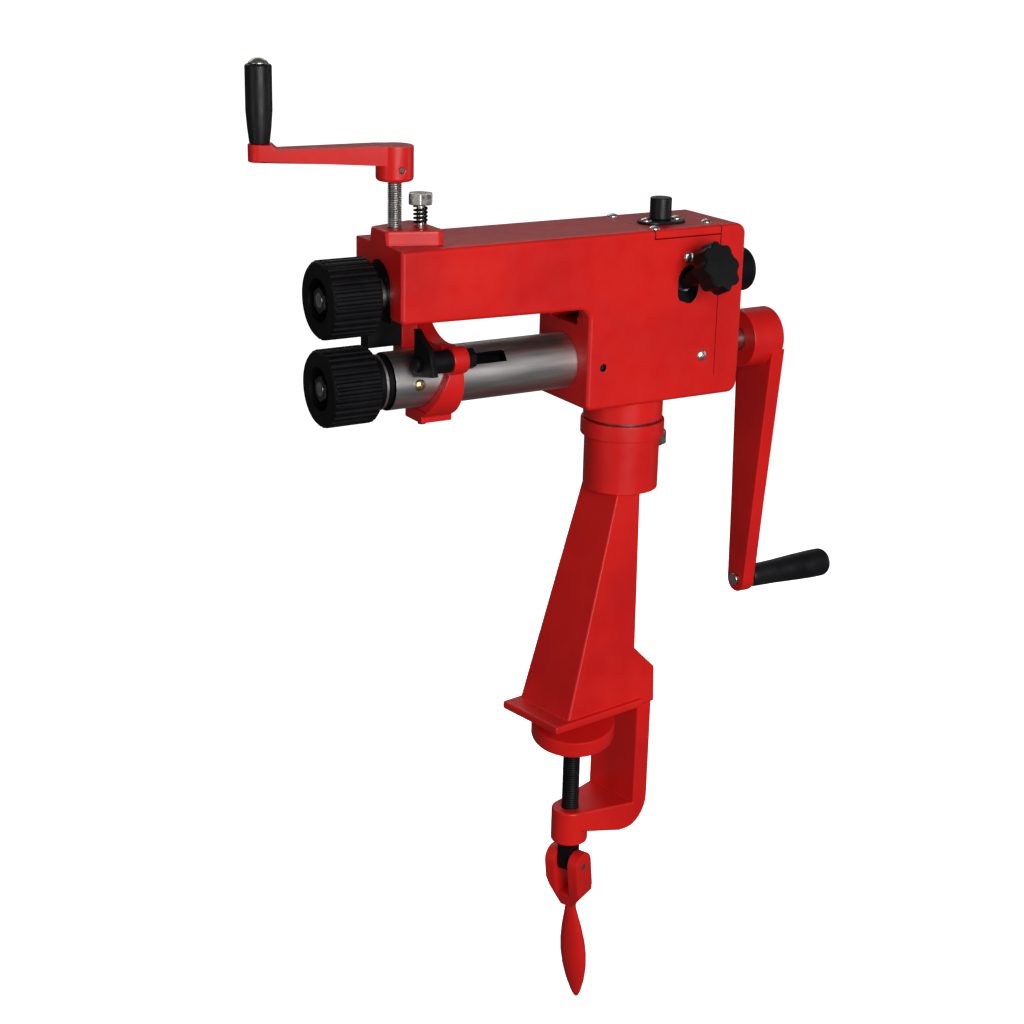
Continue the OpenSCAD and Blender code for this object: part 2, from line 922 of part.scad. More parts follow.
// Oval plate under the top knob
module plunger_flange() {
  end_x = flange_half_len - flange_half_w;
  color(black)
    difference() {
      translate([flange_x, flange_y, head_top])
        linear_extrude(flange_t)
          union() {
            square([2 * end_x, 2 * flange_half_w], center = true);
            for (side = [-1, 1])
              translate([side * end_x, 0])
                circle(r = flange_half_w);
          }
      translate([plunger_x, plunger_y, 0])
        along_z(plunger_r + run_fit, head_top - over, head_top + flange_t + over);
      screw_places(flange_screw_places)
        along_z(screw_shank_r, head_top - over, head_top + flange_t + over);
    }
}

module top_knob() {
  seat = head_top + flange_t + face_gap;
  top = head_top + top_knob_h;
  color(black)
    translate([plunger_x, plunger_y, 0]) {
      along_z(plunger_r, head_top - plunger_len, seat);
      translate([0, 0, seat])
        rotate_extrude()
          polygon(concat(
            [[0, 0], [top_knob_r, 0]],
            arc([top_knob_r - over, top - seat - over], over, 0, 90, 4),
            [[0, top - seat]]
          ));
    }
}

star_ring_t = 2;
star_stem_r = 6.5;
star_knob_t = 13;
star_stud_len = 12;
star_lobe_r = 5;
star_lobes = 8;

module star_bush() {
  color(steel)
    star_frame()
      difference() {
        along_z(star_stem_r + over, -star_hole_depth, star_ring_t - star_hole_depth);
        along_z(star_thread_r + run_fit, -star_hole_depth - over, star_ring_t - star_hole_depth + over);
      }
}

module star_knob() {
  back = star_out - star_knob_t;
  body_r = star_r - star_lobe_r / 2;
  stem_z0 = star_ring_t - star_hole_depth + face_gap;
  color(black)
    star_frame() {
      along_z(star_thread_r, -star_stud_len, stem_z0);
      along_z(star_stem_r, stem_z0, back);
      translate([0, 0, back])
        linear_extrude(star_knob_t)
          union() {
            circle(r = body_r);
            for (i = [0 : star_lobes - 1])
              rotate(i * 360 / star_lobes)
                translate([star_r - star_lobe_r, 0])
                  circle(r = star_lobe_r);
          }
    }
}

adjuster_tip = upper_shaft_x1 + over;

module adjuster_screw() {
  color(steel)
    translate([0, adjuster_y, upper_z - adjuster_drop])
      along_x(adjuster_r, adjuster_tip, box_x1 + rear_knob_len / 2);
}

module rear_knob() {
  x0 = box_x1 + over;
  rim = head_corner_r / 2;
  color(black)
    translate([0, adjuster_y, upper_z - adjuster_drop])
      difference() {
        translate([x0, 0, 0])
          rotate([0, 90, 0])
            rotate_extrude()
              polygon(concat(
                [[0, 0], [rear_knob_r, 0]],
                arc([rear_knob_r - rim, rear_knob_len - rim], rim, 0, 90, 5),
                [[0, rear_knob_len]]
              ));
        along_x(adjuster_r, x0 - over, box_x1 + rear_knob_len / 2);
      }
}

// SHAFT TUBE

tube_nose_gap = 4; // from the nose back to the front of the tube
tube_x1 = box_x0 + tube_seat_len;
tube_x0 = nose_x + tube_nose_gap;
slot_in = 59; // from the tube's front to its slot
tube_slot_len = 30;
tube_slot_w = 9;
tube_slot_turn = 40; // above level on the near side, in degrees
front_screw_in = 18; // from the tube's front to the screw that holds its bush
seal_r = 18.5;
ring_w = 1.6;
ring_in = 5; // from the tube's front to the bright ring

module arm_tube() {
  color(steel)
    translate([0, 0, axis_z])
      difference() {
        along_x(tube_r, tube_x0, tube_x1);
        along_x(tube_bore_r, tube_x0 - over, tube_x1 + over);
        rotate([-tube_slot_turn, 0, 0])
          block(
            [tube_x0 + slot_in, -2 * tube_r, -tube_slot_w / 2],
            [tube_x0 + slot_in + tube_slot_len, 0, tube_slot_w / 2]
          );
        translate([tube_x0 + front_screw_in, 0, 0])
          along_y(screw_shank_r, -2 * tube_r, 0);
        translate([box_x0 + tube_hole_in, 0, 0])
          along_y(tube_screw_r, -2 * tube_r, 0);
      }
}

module tube_seal() {
  color(black)
    translate([0, 0, axis_z])
      difference() {
        along_x(seal_r, roll_x1 + face_gap, tube_x0);
        along_x(shaft_r + run_fit, roll_x1, tube_x0 + over);
      }
}

module tube_ring() {
  x1 = tube_x0 - ring_in;
  color(steel)
    translate([0, 0, axis_z])
      difference() {
        along_x(seal_r + over, x1 - ring_w, x1);
        along_x(seal_r, x1 - ring_w - over, x1 + over);
      }
}

// The near screw that holds the front bush, and the set screw that holds the tube
module tube_screws() {
  color(brass) {
    translate([tube_x0 + front_screw_in, -tube_r, axis_z])
      rotate([90, 0, 0])
        pan_screw(0, tube_r - tube_bore_r);
    translate([box_x0 + tube_hole_in, 0, axis_z])
      along_y(tube_screw_r, near_wall_y + screw_head_r, -tube_bore_r);
  }
}

front_bush_len = 26;
module lower_front_bush() {
  color(brass)
    translate([0, 0, axis_z])
      difference() {
        along_x(bush_r, tube_x0, tube_x0 + front_bush_len);
        along_x(shaft_r + run_fit, tube_x0 - over, tube_x0 + front_bush_len + over);
        translate([tube_x0 + front_screw_in, 0, 0])
          along_y(screw_shank_r, -2 * tube_r, 0);
      }
}

module lower_rear_bush() {
  color(brass)
    translate([0, 0, axis_z])
      difference() {
        along_x(rear_bush_r, chamber_x1, bearing_x1);
        along_x(shaft_r + run_fit, chamber_x1 - over, bearing_x1 + over);
      }
}

module upper_socket() {
  color(brass)
    translate([0, 0, upper_z])
      difference() {
        along_x(socket_r, chamber_x1, socket_x1);
        translate([ball_x, 0, 0])
          sphere(r = ball_bush_r + ball_fit);
        along_x(shaft_r + 2 * side_gap, chamber_x1 - over, socket_x1 + over);
      }
}

module hold_down_nut() {
  color(steel)
    translate([down_x, 0, 0])
      difference() {
        along_z(down_nut_r, slot_top, pad_top);
        along_z(down_screw_r + run_fit, slot_top - over, pad_top + over);
      }
}

// DRIVES

// A shaft on its own axis, with its nose for the roll and its thread for the nut
module shaft_nose() {
  floor_x = roll_x0 + recess_depth;
  along_x(nose_r, floor_x, roll_x1);
  along_x(stud_r, floor_x - washer_t - nut_t - face_gap, floor_x);
}

module gear_key(z) {
  translate([-key_len / 2, -key_w / 2, z + shaft_r - key_h / 2])
    cube([key_len, key_w, key_h]);
}

module lower_shaft() {
  color(steel)
    difference() {
      translate([0, 0, axis_z]) {
        shaft_nose();
        along_x(shaft_r, roll_x1, bearing_x1 - face_gap);
        along_x(tail_r, bearing_x1 - face_gap, crank_x1);
      }
      gear_key(axis_z);
      crank_pin_hole();
    }
}

module upper_shaft() {
  color(steel)
    difference() {
      translate([0, 0, upper_z]) {
        shaft_nose();
        along_x(shaft_r, roll_x1, upper_shaft_x1);
      }
      gear_key(upper_z);
    }
}

// Fluted drive roll with a recess for its nut
module roll_at(z) {
  color(black)
    translate([0, 0, z])
      difference() {
        translate([roll_x0, 0, 0])
          rotate([0, 90, 0])
            rotate_extrude()
              polygon([
                [0, 0],
                [roll_r - roll_chamfer, 0],
                [roll_r, roll_chamfer],
                [roll_r, roll_len - roll_chamfer],
                [roll_r - roll_chamfer, roll_len],
                [0, roll_len]
              ]);
        along_x(recess_r, roll_x0 - over, roll_x0 + recess_depth);
        along_x(nose_r, roll_x0, roll_x1 + over);
        for (i = [0 : flutes - 1])
          rotate([i * 360 / flutes, 0, 0])
            translate([0, roll_r + flute_r / 3, 0])
              along_x(flute_r, roll_x0 - over, roll_x1 + over);
      }
}

module roll_washer_at(z) {
  floor_x = roll_x0 + recess_depth;
  color(black)
    translate([0, 0, z])
      difference() {
        along_x((recess_r + nose_r) / 2, floor_x - washer_t, floor_x);
        along_x(stud_r, floor_x - washer_t - over, floor_x + over);
      }
}

module roll_nut_at(z) {
  seat_x = roll_x0 + recess_depth - washer_t;
  color(black)
    translate([seat_x, 0, z])
      rotate([0, -90, 0])
        difference() {
          hex_z(nut_af, 0, nut_t);
          along_z(stud_r, -over, nut_t + over);
        }
}

// Outline of a gear; turn shifts its teeth
module gear_outline(turn) {
  step = 360 / teeth;
  root_half = asin(tooth_root_w / 2 / gear_root_r);
  tip_half = asin(tooth_tip_w / 2 / gear_out_r);
  polygon([
    for (i = [0 : teeth - 1])
      for (p = [
        [-root_half, gear_root_r],
        [-tip_half, gear_out_r],
        [tip_half, gear_out_r],
        [root_half, gear_root_r]
      ])
        p[1] * [cos(turn + i * step + p[0]), sin(turn + i * step + p[0])]
  ]);
}

module gear_at(z, turn) {
  color(steel)
    difference() {
      translate([0, 0, z])
        difference() {
          across_x(-gear_w / 2, gear_w / 2) gear_outline(turn);
          along_x(shaft_r, -gear_w, gear_w);
        }
      gear_key(z);
    }
}

module lower_roll() { roll_at(axis_z); }
module upper_roll() { roll_at(upper_z); }
module lower_roll_washer() { roll_washer_at(axis_z); }
module upper_roll_washer() { roll_washer_at(upper_z); }
module lower_roll_nut() { roll_nut_at(axis_z); }
module upper_roll_nut() { roll_nut_at(upper_z); }
module lower_gear() { gear_at(axis_z, 90); }
module upper_gear() { gear_at(upper_z, 270 + 180 / teeth); }
module lower_gear_key() { color(steel) gear_key(axis_z); }
module upper_gear_key() { color(steel) gear_key(upper_z); }

// A ball shaped bush that lets the upper shaft tilt
module ball_bush_at(x) {
  color(brass)
    translate([0, 0, upper_z])
      difference() {
        intersection() {
          translate([x, 0, 0])
            sphere(r = ball_bush_r);
          along_x(ball_bush_r, x - ball_bush_len / 2, x + ball_bush_len / 2);
        }
        along_x(shaft_r + run_fit, x - ball_bush_len, x + ball_bush_len);
      }
}

module front_swivel_bush() { ball_bush_at(down_x); }
module rear_swivel_bush() { ball_bush_at(ball_x); }

// CRANK

crank_grip_z = axis_z - crank_len;
crank_end_r = 10.5;
crank_sweep = 4.5; // how far the arm leans forward at its end
crank_pin_r = 4;
crank_cross_r = 2.5;
crank_cross_in = 7; // how far the pin's hole runs into the hub's far wall
crank_taper_share = 0.97; // how much of the hub's radius the arm keeps at its root
crank_end_t = 12; // thickness of the arm at its end
crank_arm_x1 = crank_x1 - crank_sweep;
grip_room = 0.6;

// Cross pin through the hub and the shaft
module crank_pin_hole() {
  translate([(crank_x0 + crank_x1) / 2, 0, axis_z])
    along_y(crank_cross_r, -tail_r - crank_cross_in, crank_hub_r + over);
}

// Tapered face of the arm
module crank_face() {
  root = crank_taper_share * crank_hub_r;
  polygon(concat(
    [[root, axis_z], [-root, axis_z]],
    arc([0, crank_grip_z], crank_end_r, 180, 360, 12)
  ));
}

// Side view of the arm, which leans forward towards the grip
module crank_edge() {
  low = crank_grip_z - crank_end_r;
  polygon([
    [crank_x1, axis_z],
    [crank_x1 - crank_arm_t, axis_z],
    [crank_arm_x1 - crank_end_t, low],
    [crank_arm_x1, low]
  ]);
}

module crank_arm() {
  color(red)
    difference() {
      union() {
        translate([0, 0, axis_z])
          along_x(crank_hub_r, crank_x0, crank_x1);
        intersection() {
          across_x(crank_x0, crank_x1 + over) crank_face();
          across_y(2 * crank_hub_r) crank_edge();
        }
      }
      translate([0, 0, axis_z])
        along_x(tail_r, crank_x0 - over, crank_x1 + over);
      crank_pin_hole();
      translate([0, 0, crank_grip_z])
        along_x(crank_pin_r, crank_x0, crank_x1 + over);
    }
}

module crank_hub_pin() {
  color(steel)
    translate([(crank_x0 + crank_x1) / 2, 0, axis_z])
      along_y(crank_cross_r, face_gap - tail_r - crank_cross_in, crank_hub_r - over);
}

crank_grip_x0 = crank_x1 - crank_sweep / 2;
crank_grip_x1 = crank_grip_x0 + crank_grip_len;

module crank_grip_pin() {
  front = crank_arm_x1 - crank_end_t - over;
  color(steel)
    translate([0, 0, crank_grip_z]) {
      along_x(crank_pin_r, front, crank_grip_x1 - crank_grip_r);
      along_x(crank_pin_r + over, front - over, front);
    }
}

// Outline of a grip that starts slim, swells and ends round; x is the radius, y the length
module grip_outline(len, r, shares, end_r) {
  polygon(concat(
    [[0, 0]],
    [for (s = shares) [s[1] * r, s[0] * len]],
    arc([r - end_r, len - end_r], end_r, 0, 90, 6),
    [[0, len]]
  ));
}

crank_grip_shares = [[0, 0.74], [0.05, 0.80], [0.3, 0.84], [0.6, 0.95], [0.8, 1]];

module crank_grip() {
  color(black)
    translate([0, 0, crank_grip_z])
      difference() {
        translate([crank_grip_x0, 0, 0])
          rotate([0, 90, 0])
            rotate_extrude()
              grip_outline(crank_grip_len, crank_grip_r, crank_grip_shares, crank_grip_r / 2);
        along_x(crank_pin_r + run_fit, crank_x0, crank_grip_x1 - crank_grip_r + grip_room);
      }
}

// HOLD-DOWN

block_room = 1.5; // room for the tilting shaft in the block
down_tip_room = 2.5; // from the ball bush up to the tip of the hold-down screw
down_tip_z = upper_z + ball_bush_r + down_tip_room;
spring_bolt_bite = 10; // thread of the spring's bolt in the block
spring_head_af = 16;
spring_head_t = 7.8;

module bearing_block() {
  color(black)
    difference() {
      across_x(block_x0, block_x1) arch(block_half, block_z0, block_top);
      translate([0, 0, upper_z]) {
        translate([down_x, 0, 0])
          sphere(r = ball_bush_r + ball_fit);
        along_x(shaft_r + block_room, block_x0 - over, block_x1 + over);
      }
      translate([down_x, 0, 0])
        along_z(down_screw_r + run_fit, down_tip_z, block_top + over);
      translate([spring_bolt_x, 0, 0])
        along_z(spring_bolt_r, block_top - spring_bolt_bite, block_top + over);
    }
}

module spring_bolt() {
  seat = pad_top + spring_h;
  color(zinc)
    translate([spring_bolt_x, 0, 0]) {
      along_z(spring_bolt_r, block_top - spring_bolt_bite, seat);
      hex_z(spring_head_af, seat, seat + spring_head_t);
    }
}

// The return spring is one round wire swept along its coil, with a straight end at each end
spring_steps = 8 * spring_turns;
spring_rise = spring_h - 2 * (wire_r + face_gap);
spring_z0 = pad_top + wire_r + face_gap;
function coil_point(i) =
  let (a = i * 45, f = min(max(i / spring_steps, 0), 1))
  [coil_r * cos(a), coil_r * sin(a), spring_z0 + f * spring_rise];
coil_first = coil_point(0) - [0, 2 * wire_r, 0];
coil_last = coil_point(spring_steps) + [0, 2 * wire_r, 0];
coil_path = concat([coil_first], [for (i = [0 : spring_steps]) coil_point(i)], [coil_last]);
coil_last_i = len(coil_path) - 1;
function unit_of(v) = v / norm(v);
function coil_way(i) = unit_of(coil_path[min(i + 1, coil_last_i)] - coil_path[max(i - 1, 0)]);
function coil_side(i) = unit_of(cross(coil_way(i), [0, 0, 1]));
function coil_ring(i) =
  let (side = coil_side(i), rise = cross(side, coil_way(i)))
  [for (k = [0 : 5]) coil_path[i] + wire_r * (cos(60 * k) * side + sin(60 * k) * rise)];
coil_rings = [for (i = [0 : coil_last_i]) each coil_ring(i)];
coil_faces = concat(
  [for (i = [0 : coil_last_i - 1]) for (k = [0 : 5]) each [
    [6 * i + k, 6 * i + (k + 1) % 6, 6 * i + 6 + k],
    [6 * i + (k + 1) % 6, 6 * i + 6 + (k + 1) % 6, 6 * i + 6 + k]
  ]],
  [for (k = [1 : 4]) [0, k + 1, k]],
  [for (k = [1 : 4]) [6 * coil_last_i, 6 * coil_last_i + k, 6 * coil_last_i + k + 1]]
);
// Least gap between points of the wire that lie over half a curl apart
coil_gap = min([
  for (i = [0 : coil_last_i]) for (j = [i + 5 : 1 : coil_last_i]) norm(coil_path[i] - coil_path[j])
]) - 2 * wire_r;
echo(least_gap_of_the_return_spring = coil_gap);

module return_spring() {
  color(black)
    translate([spring_bolt_x, 0, 0])
      polyhedron(coil_rings, coil_faces);
}

down_hub_share = 0.5; // height of the arm as a share of the hub's height
down_end_r = 8;
down_pin_r = 3;
down_cross_r = 2;
down_cross_share = 0.35; // height of the hub's pin up the hub
down_cross_turn = 20; // turn of the pin from square to the arm, in degrees
down_grip_z0 = hub_z1 + face_gap;
down_grip_z1 = down_grip_z0 + down_grip_len;
down_cap_t = 4;
down_cap_r = 6.8;
down_cap_ball_r = 8;
down_arm_dip = 3; // from the boss at the grip down to the arm
down_screw_top = hub_z1 - down_cap_t;

// Hole across the hub of the crank and the screw, or the pin in it
module down_cross(half) {
  translate([0, 0, hub_z0 + down_cross_share * down_hub_h])
    rotate([0, 0, down_cross_turn])
      along_y(down_cross_r, -half, half);
}

module hold_down_screw() {
  color(steel)
    translate([down_x, 0, 0])
      difference() {
        along_z(down_screw_r, down_tip_z + face_gap, down_screw_top);
        rotate([0, 0, -down_arm_turn])
          down_cross(down_hub_r);
      }
}

// Frame of the hold-down crank: X runs out along its arm
module down_frame() {
  translate([down_x, 0, 0])
    rotate([0, 0, 180 - down_arm_turn])
      children();
}

module hold_down_arm() {
  arm_h = down_hub_share * down_hub_h;
  slant = (down_hub_r - down_end_r) / down_arm_len;
  color(red)
    down_frame()
      difference() {
        union() {
          along_z(down_hub_r, hub_z0, hub_z1);
          translate([0, 0, hub_z1 - arm_h])
            linear_extrude(arm_h)
              polygon([
                [0, -down_hub_r + over],
                [down_arm_len, -down_end_r],
                [down_arm_len, down_end_r],
                [0, down_hub_r - over]
              ]);
          translate([down_arm_len, 0, 0])
            along_z(down_end_r, hub_z1 - arm_h, hub_z1);
        }
        across_y(2 * down_hub_r)
          polygon([
            [down_hub_r, hub_z1 + over],
            [down_hub_r, hub_z1],
            [down_arm_len - down_end_r - down_arm_dip, hub_z1 - down_arm_dip],
            [down_arm_len - down_end_r, hub_z1],
            [down_arm_len - down_end_r, hub_z1 + over]
          ]);
        along_z(down_screw_r, hub_z0 - over, down_screw_top);
        down_cross(2 * down_hub_r);
        translate([down_arm_len, 0, 0])
          along_z(down_pin_r, hub_z0, hub_z1 + over);
      }
}

module hold_down_hub_pin() {
  color(steel)
    down_frame()
      down_cross(down_hub_r - face_gap);
}

module hold_down_grip_pin() {
  cap_z = down_grip_z1 + face_gap;
  color(steel)
    down_frame()
      translate([down_arm_len, 0, 0]) {
        along_z(down_pin_r, hub_z1 - down_hub_share * down_hub_h, cap_z);
        translate([0, 0, cap_z])
          intersection() {
            cylinder(r = down_cap_r, h = down_cap_t);
            translate([0, 0, down_cap_t - down_cap_ball_r])
              sphere(r = down_cap_ball_r);
          }
      }
}

down_grip_shares = [[0, 0.76], [0.2, 0.9], [0.42, 1], [0.7, 1]];

module hold_down_grip() {
  color(black)
    down_frame()
      translate([down_arm_len, 0, down_grip_z0])
        difference() {
          rotate_extrude()
            grip_outline(down_grip_len, down_grip_r, down_grip_shares, down_grip_r / 5);
          along_z(down_pin_r + run_fit, -over, down_grip_len + over);
        }
}

// GUIDE

guide_x0 = tube_x0 + guide_in;
guide_x1 = guide_x0 + guide_ring_t;
guide_ear_y = -26.5;
guide_ear_rise = 16.5; // from the shaft up to the bolt of the fence
guide_ear_r = 9.5;
guide_dip_y = -6; // middle of the hollow in the top of the ring
guide_dip_rise = 60;
guide_dip_r = 36;
guide_lug_y0 = 19; // the lug stands beside the bearing block, on the far side
guide_lug_y1 = 33;
guide_lug_top_gap = 1.6; // from the arm's underside down to the lug
guide_lug_top = arm_z - guide_lug_top_gap - axis_z;
guide_foot_len = 12.5; // from the ring forward to the end of the foot and the lug
guide_foot_y0 = -11;
guide_foot_y1 = 14;
guide_foot_low = 31; // from the shaft down to the underside of the foot
guide_slant_high = 6; // the near side is cut off on a slant between these two heights
guide_slant_low = -24;
fence_gap = 20.5; // from the ring forward to the fence plate
fence_t = 4;
fence_x1 = guide_x0 - fence_gap;
fence_x0 = fence_x1 - fence_t;
fence_y1 = -21.5; // upright edge of the fence, clear of the tube and of the bearing block
fence_low = 6.5; // height of the bottom of the fence above the shaft
fence_w = 28.4;
fence_h = 34.5;
far_fence_len = 26; // from the lug forward to the front of the far fence
far_fence_low = 19; // heights of the far fence above the shaft
far_fence_top = 40;
far_fence_in = 1;
fence_bolt_r = 3;
fence_head_r = 5.5;
fence_head_t = 2.5;
fence_spool_r = 8;
fence_nut_af = 13;
fence_nut_t = 7;
guide_screw_x = guide_x0 - guide_foot_len / 2;
guide_screw_r = 3;

// Outline of the ring with its ear and its far side, about the shaft's axis
module guide_plate() {
  difference() {
    union() {
      circle(r = guide_ring_r);
      translate([guide_ear_y, guide_ear_rise])
        circle(r = guide_ear_r);
      square([guide_lug_y1, guide_lug_top]);
      translate([guide_foot_y0, -guide_foot_low])
        square([guide_foot_y1 - guide_foot_y0, guide_foot_low]);
    }
    translate([guide_dip_y, guide_dip_rise])
      circle(r = guide_dip_r);
  }
}

// What is cut off the part in front of the ring: all but the foot and the far lug
module guide_slant() {
  front = guide_x0 - guide_foot_len - over;
  translate([0, guide_lug_y0, 0])
    rotate([90, 0, 0])
      linear_extrude(guide_lug_y0 - guide_ear_y + 2 * guide_ear_r)
        polygon([
          [front, guide_slant_low],
          [guide_x0, guide_slant_high],
          [guide_x0, guide_dip_rise],
          [front, guide_dip_rise]
        ]);
}

module guide_bracket() {
  front = guide_x0 - guide_foot_len;
  color(red)
    translate([0, 0, axis_z])
      difference() {
        across_x(front, guide_x1) guide_plate();
        guide_slant();
        along_x(tube_r + ball_fit, front - over, guide_x1 + over);
        translate([0, guide_ear_y, guide_ear_rise])
          along_x(fence_bolt_r, guide_x0 - over, guide_x1 + over);
        translate([guide_screw_x, 0, 0])
          along_z(guide_screw_r, -guide_foot_low - over, 0);
      }
}

// Corners of the fence plate, as shares of its width away from the tube and of its height
fence_shares = [[0, 0], [0, 0.985], [0.13, 1], [0.405, 0.826], [0.715, 0.704], [0.842, 0.507], [1, 0.174]];

module fence_plate() {
  color(black)
    translate([0, 0, axis_z])
      difference() {
        across_x(fence_x0, fence_x1)
          polygon([for (s = fence_shares) [fence_y1 - s[0] * fence_w, fence_low + s[1] * fence_h]]);
        translate([0, guide_ear_y, guide_ear_rise])
          along_x(fence_bolt_r, fence_x0 - over, fence_x1 + over);
      }
}

// Block on the front of the lug that stops the sheet beside the bearing block, on the far side
module far_fence() {
  back = guide_x0 - guide_foot_len;
  color(black)
    translate([0, 0, axis_z])
      block(
        [back - far_fence_len, guide_lug_y0 + far_fence_in, far_fence_low],
        [back, guide_lug_y1 - far_fence_in, far_fence_top]
      );
}

// Bolt that carries the fence, with its spool and its nut
module fence_bolt() {
  color(black)
    translate([0, guide_ear_y, axis_z + guide_ear_rise]) {
      along_x(fence_bolt_r, fence_x0 - fence_head_t, guide_x1 + fence_nut_t);
      along_x(fence_head_r, fence_x0 - fence_head_t, fence_x0);
      difference() {
        along_x(fence_spool_r, fence_x1, guide_x0);
        along_x(fence_bolt_r, fence_x1 - over, guide_x0 + over);
      }
      translate([guide_x1, 0, 0])
        rotate([0, 90, 0])
          difference() {
            hex_z(fence_nut_af, 0, fence_nut_t);
            along_z(fence_bolt_r, -over, fence_nut_t + over);
          }
    }
}

module guide_screw() {
  color(black)
    translate([guide_screw_x, 0, axis_z])
      along_z(guide_screw_r, -guide_foot_low - guide_screw_r, -tube_r - face_gap);
}

stand_casting();
collar_bolt();
head_casting();
swivel_spigot();
collar_washer();
rear_cover();
top_cover();
cover_screws();
side_screws();
arm_tube();
tube_seal();
tube_ring();
tube_screws();
lower_front_bush();
lower_rear_bush();
upper_socket();
hold_down_nut();
return_spring();
plunger_flange();
top_knob();
star_bush();
star_knob();
adjuster_screw();
rear_knob();
lower_shaft();
lower_roll();
lower_roll_washer();
lower_roll_nut();
lower_gear();
lower_gear_key();
crank_arm();
crank_hub_pin();
crank_grip_pin();
crank_grip();
upper_shaft();
upper_roll();
upper_roll_washer();
upper_roll_nut();
upper_gear();
upper_gear_key();
front_swivel_bush();
rear_swivel_bush();
bearing_block();
spring_bolt();
hold_down_screw();
hold_down_arm();
hold_down_hub_pin();
hold_down_grip_pin();
hold_down_grip();
guide_bracket();
fence_plate();
far_fence();
fence_bolt();
guide_screw();
pad_washer();
clamp_pad();
clamp_screw();
lever_pin();
clamp_lever();
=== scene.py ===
# %% [markdown]
# # Dressing a bench bead roller
# The machine comes as a frame of exact solids. This lesson rounds the castings, cuts the threads
# and paints every piece, so that it looks like the enamelled tool on a white sweep. Each piece is
# made where it sits on the machine, in metres, so nothing has to be fitted afterwards.

# %% Load the frame
import json
import math

import bmesh
import bpy
from mathutils import Matrix, Vector


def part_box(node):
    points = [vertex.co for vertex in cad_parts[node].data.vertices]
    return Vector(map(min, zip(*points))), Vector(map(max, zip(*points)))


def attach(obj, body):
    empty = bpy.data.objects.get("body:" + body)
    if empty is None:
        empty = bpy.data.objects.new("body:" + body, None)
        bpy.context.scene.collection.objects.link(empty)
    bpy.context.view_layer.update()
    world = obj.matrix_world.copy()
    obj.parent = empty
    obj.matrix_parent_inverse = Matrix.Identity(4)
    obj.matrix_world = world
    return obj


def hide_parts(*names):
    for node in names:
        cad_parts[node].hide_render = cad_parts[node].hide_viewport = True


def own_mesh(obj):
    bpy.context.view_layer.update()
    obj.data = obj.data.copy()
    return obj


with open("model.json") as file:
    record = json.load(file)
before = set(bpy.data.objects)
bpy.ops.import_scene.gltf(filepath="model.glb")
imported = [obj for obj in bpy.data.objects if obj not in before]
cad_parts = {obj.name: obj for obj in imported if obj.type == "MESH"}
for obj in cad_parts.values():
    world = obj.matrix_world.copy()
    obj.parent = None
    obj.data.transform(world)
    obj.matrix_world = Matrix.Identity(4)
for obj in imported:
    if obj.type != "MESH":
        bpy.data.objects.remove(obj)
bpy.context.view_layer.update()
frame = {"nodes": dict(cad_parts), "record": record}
MM = 0.001
body_of_node = {}
for body_name, node_names in frame["record"]["behaviour"]["bodies"].items():
    for node_name in node_names:
        body_of_node[node_name] = body_name

# %% [markdown]
# The photograph was taken with a longish lens from the front left, a little above the machine. The
# camera below was solved from the outlines of the casting, the rolls and the clamp, so its place
# and lens are real values and only a small shift centres the frame. Placing it by eye would be
# quicker, but then no outline could be compared with the photograph.

# %% Camera
PHOTO_SIZE = 1024
SENSOR_MM = 36.0
LENS_PX = 1923.6
CENTRE_PX = (518.5, 527.8)
CAMERA_PLACE = Vector((-0.79666, -1.15526, 0.61256))
CAMERA_RIGHT = Vector((0.85675, -0.51520, 0.02333))
CAMERA_UP = Vector((0.14649, 0.28647, 0.94682))


def add_camera():
    camera = bpy.data.cameras.new("photo_camera")
    camera.sensor_width = SENSOR_MM
    camera.lens = SENSOR_MM * LENS_PX / PHOTO_SIZE
    camera.shift_x = (PHOTO_SIZE / 2 - CENTRE_PX[0]) / PHOTO_SIZE
    camera.shift_y = (CENTRE_PX[1] - PHOTO_SIZE / 2) / PHOTO_SIZE
    camera.clip_end = 50.0
    holder = bpy.data.objects.new("photo_camera", camera)
    bpy.context.scene.collection.objects.link(holder)
    back = CAMERA_RIGHT.cross(CAMERA_UP)
    turn = Matrix((CAMERA_RIGHT, CAMERA_UP, back)).transposed().to_4x4()
    holder.matrix_world = Matrix.Translation(CAMERA_PLACE) @ turn
    bpy.context.scene.camera = holder
    print("lens in mm:", round(camera.lens, 1))


add_camera()

# %% [markdown]
# A product shot like this one is lit by one broad soft light on the near side, with white paper
# all round. The side of the machine is bright, its end faces are darker and its top picks up only
# a sheen. A low light behind the machine brightens its far side, and makes no reflection, so that
# the faces that the photograph shows stay as they are. The paper is a floor inside a wide shell. An
# evenly lit white world would be less work, but it would flatten the enamel. So the paper glows for
# the camera alone, and the light on the machine stays directional. `cut_level` keeps what is above
# or below a height and closes the cut, here for the floor and later for the screws.

# %% Floor, shell and light
FLOOR_Z = -0.62
SHELL_RADIUS = 9.0
PAPER = (0.93, 0.93, 0.93)


def make_paper():
    material = bpy.data.materials.new("paper")
    material.use_nodes = True
    shader = material.node_tree.nodes["Principled BSDF"]
    shader.inputs["Base Color"].default_value = (*PAPER, 1.0)
    shader.inputs["Roughness"].default_value = 0.9
    shader.inputs["Emission Color"].default_value = (1.0, 1.0, 1.0, 1.0)
    shader.inputs["Emission Strength"].default_value = 1.1
    return material


def cut_level(bm, height, above):
    cut = bmesh.ops.bisect_plane(
        bm, geom=bm.verts[:] + bm.edges[:] + bm.faces[:], plane_co=(0, 0, height),
        plane_no=(0, 0, 1), clear_inner=above, clear_outer=not above,
    )
    rim = [e for e in cut["geom_cut"] if isinstance(e, bmesh.types.BMEdge)]
    bmesh.ops.contextual_create(bm, geom=rim)


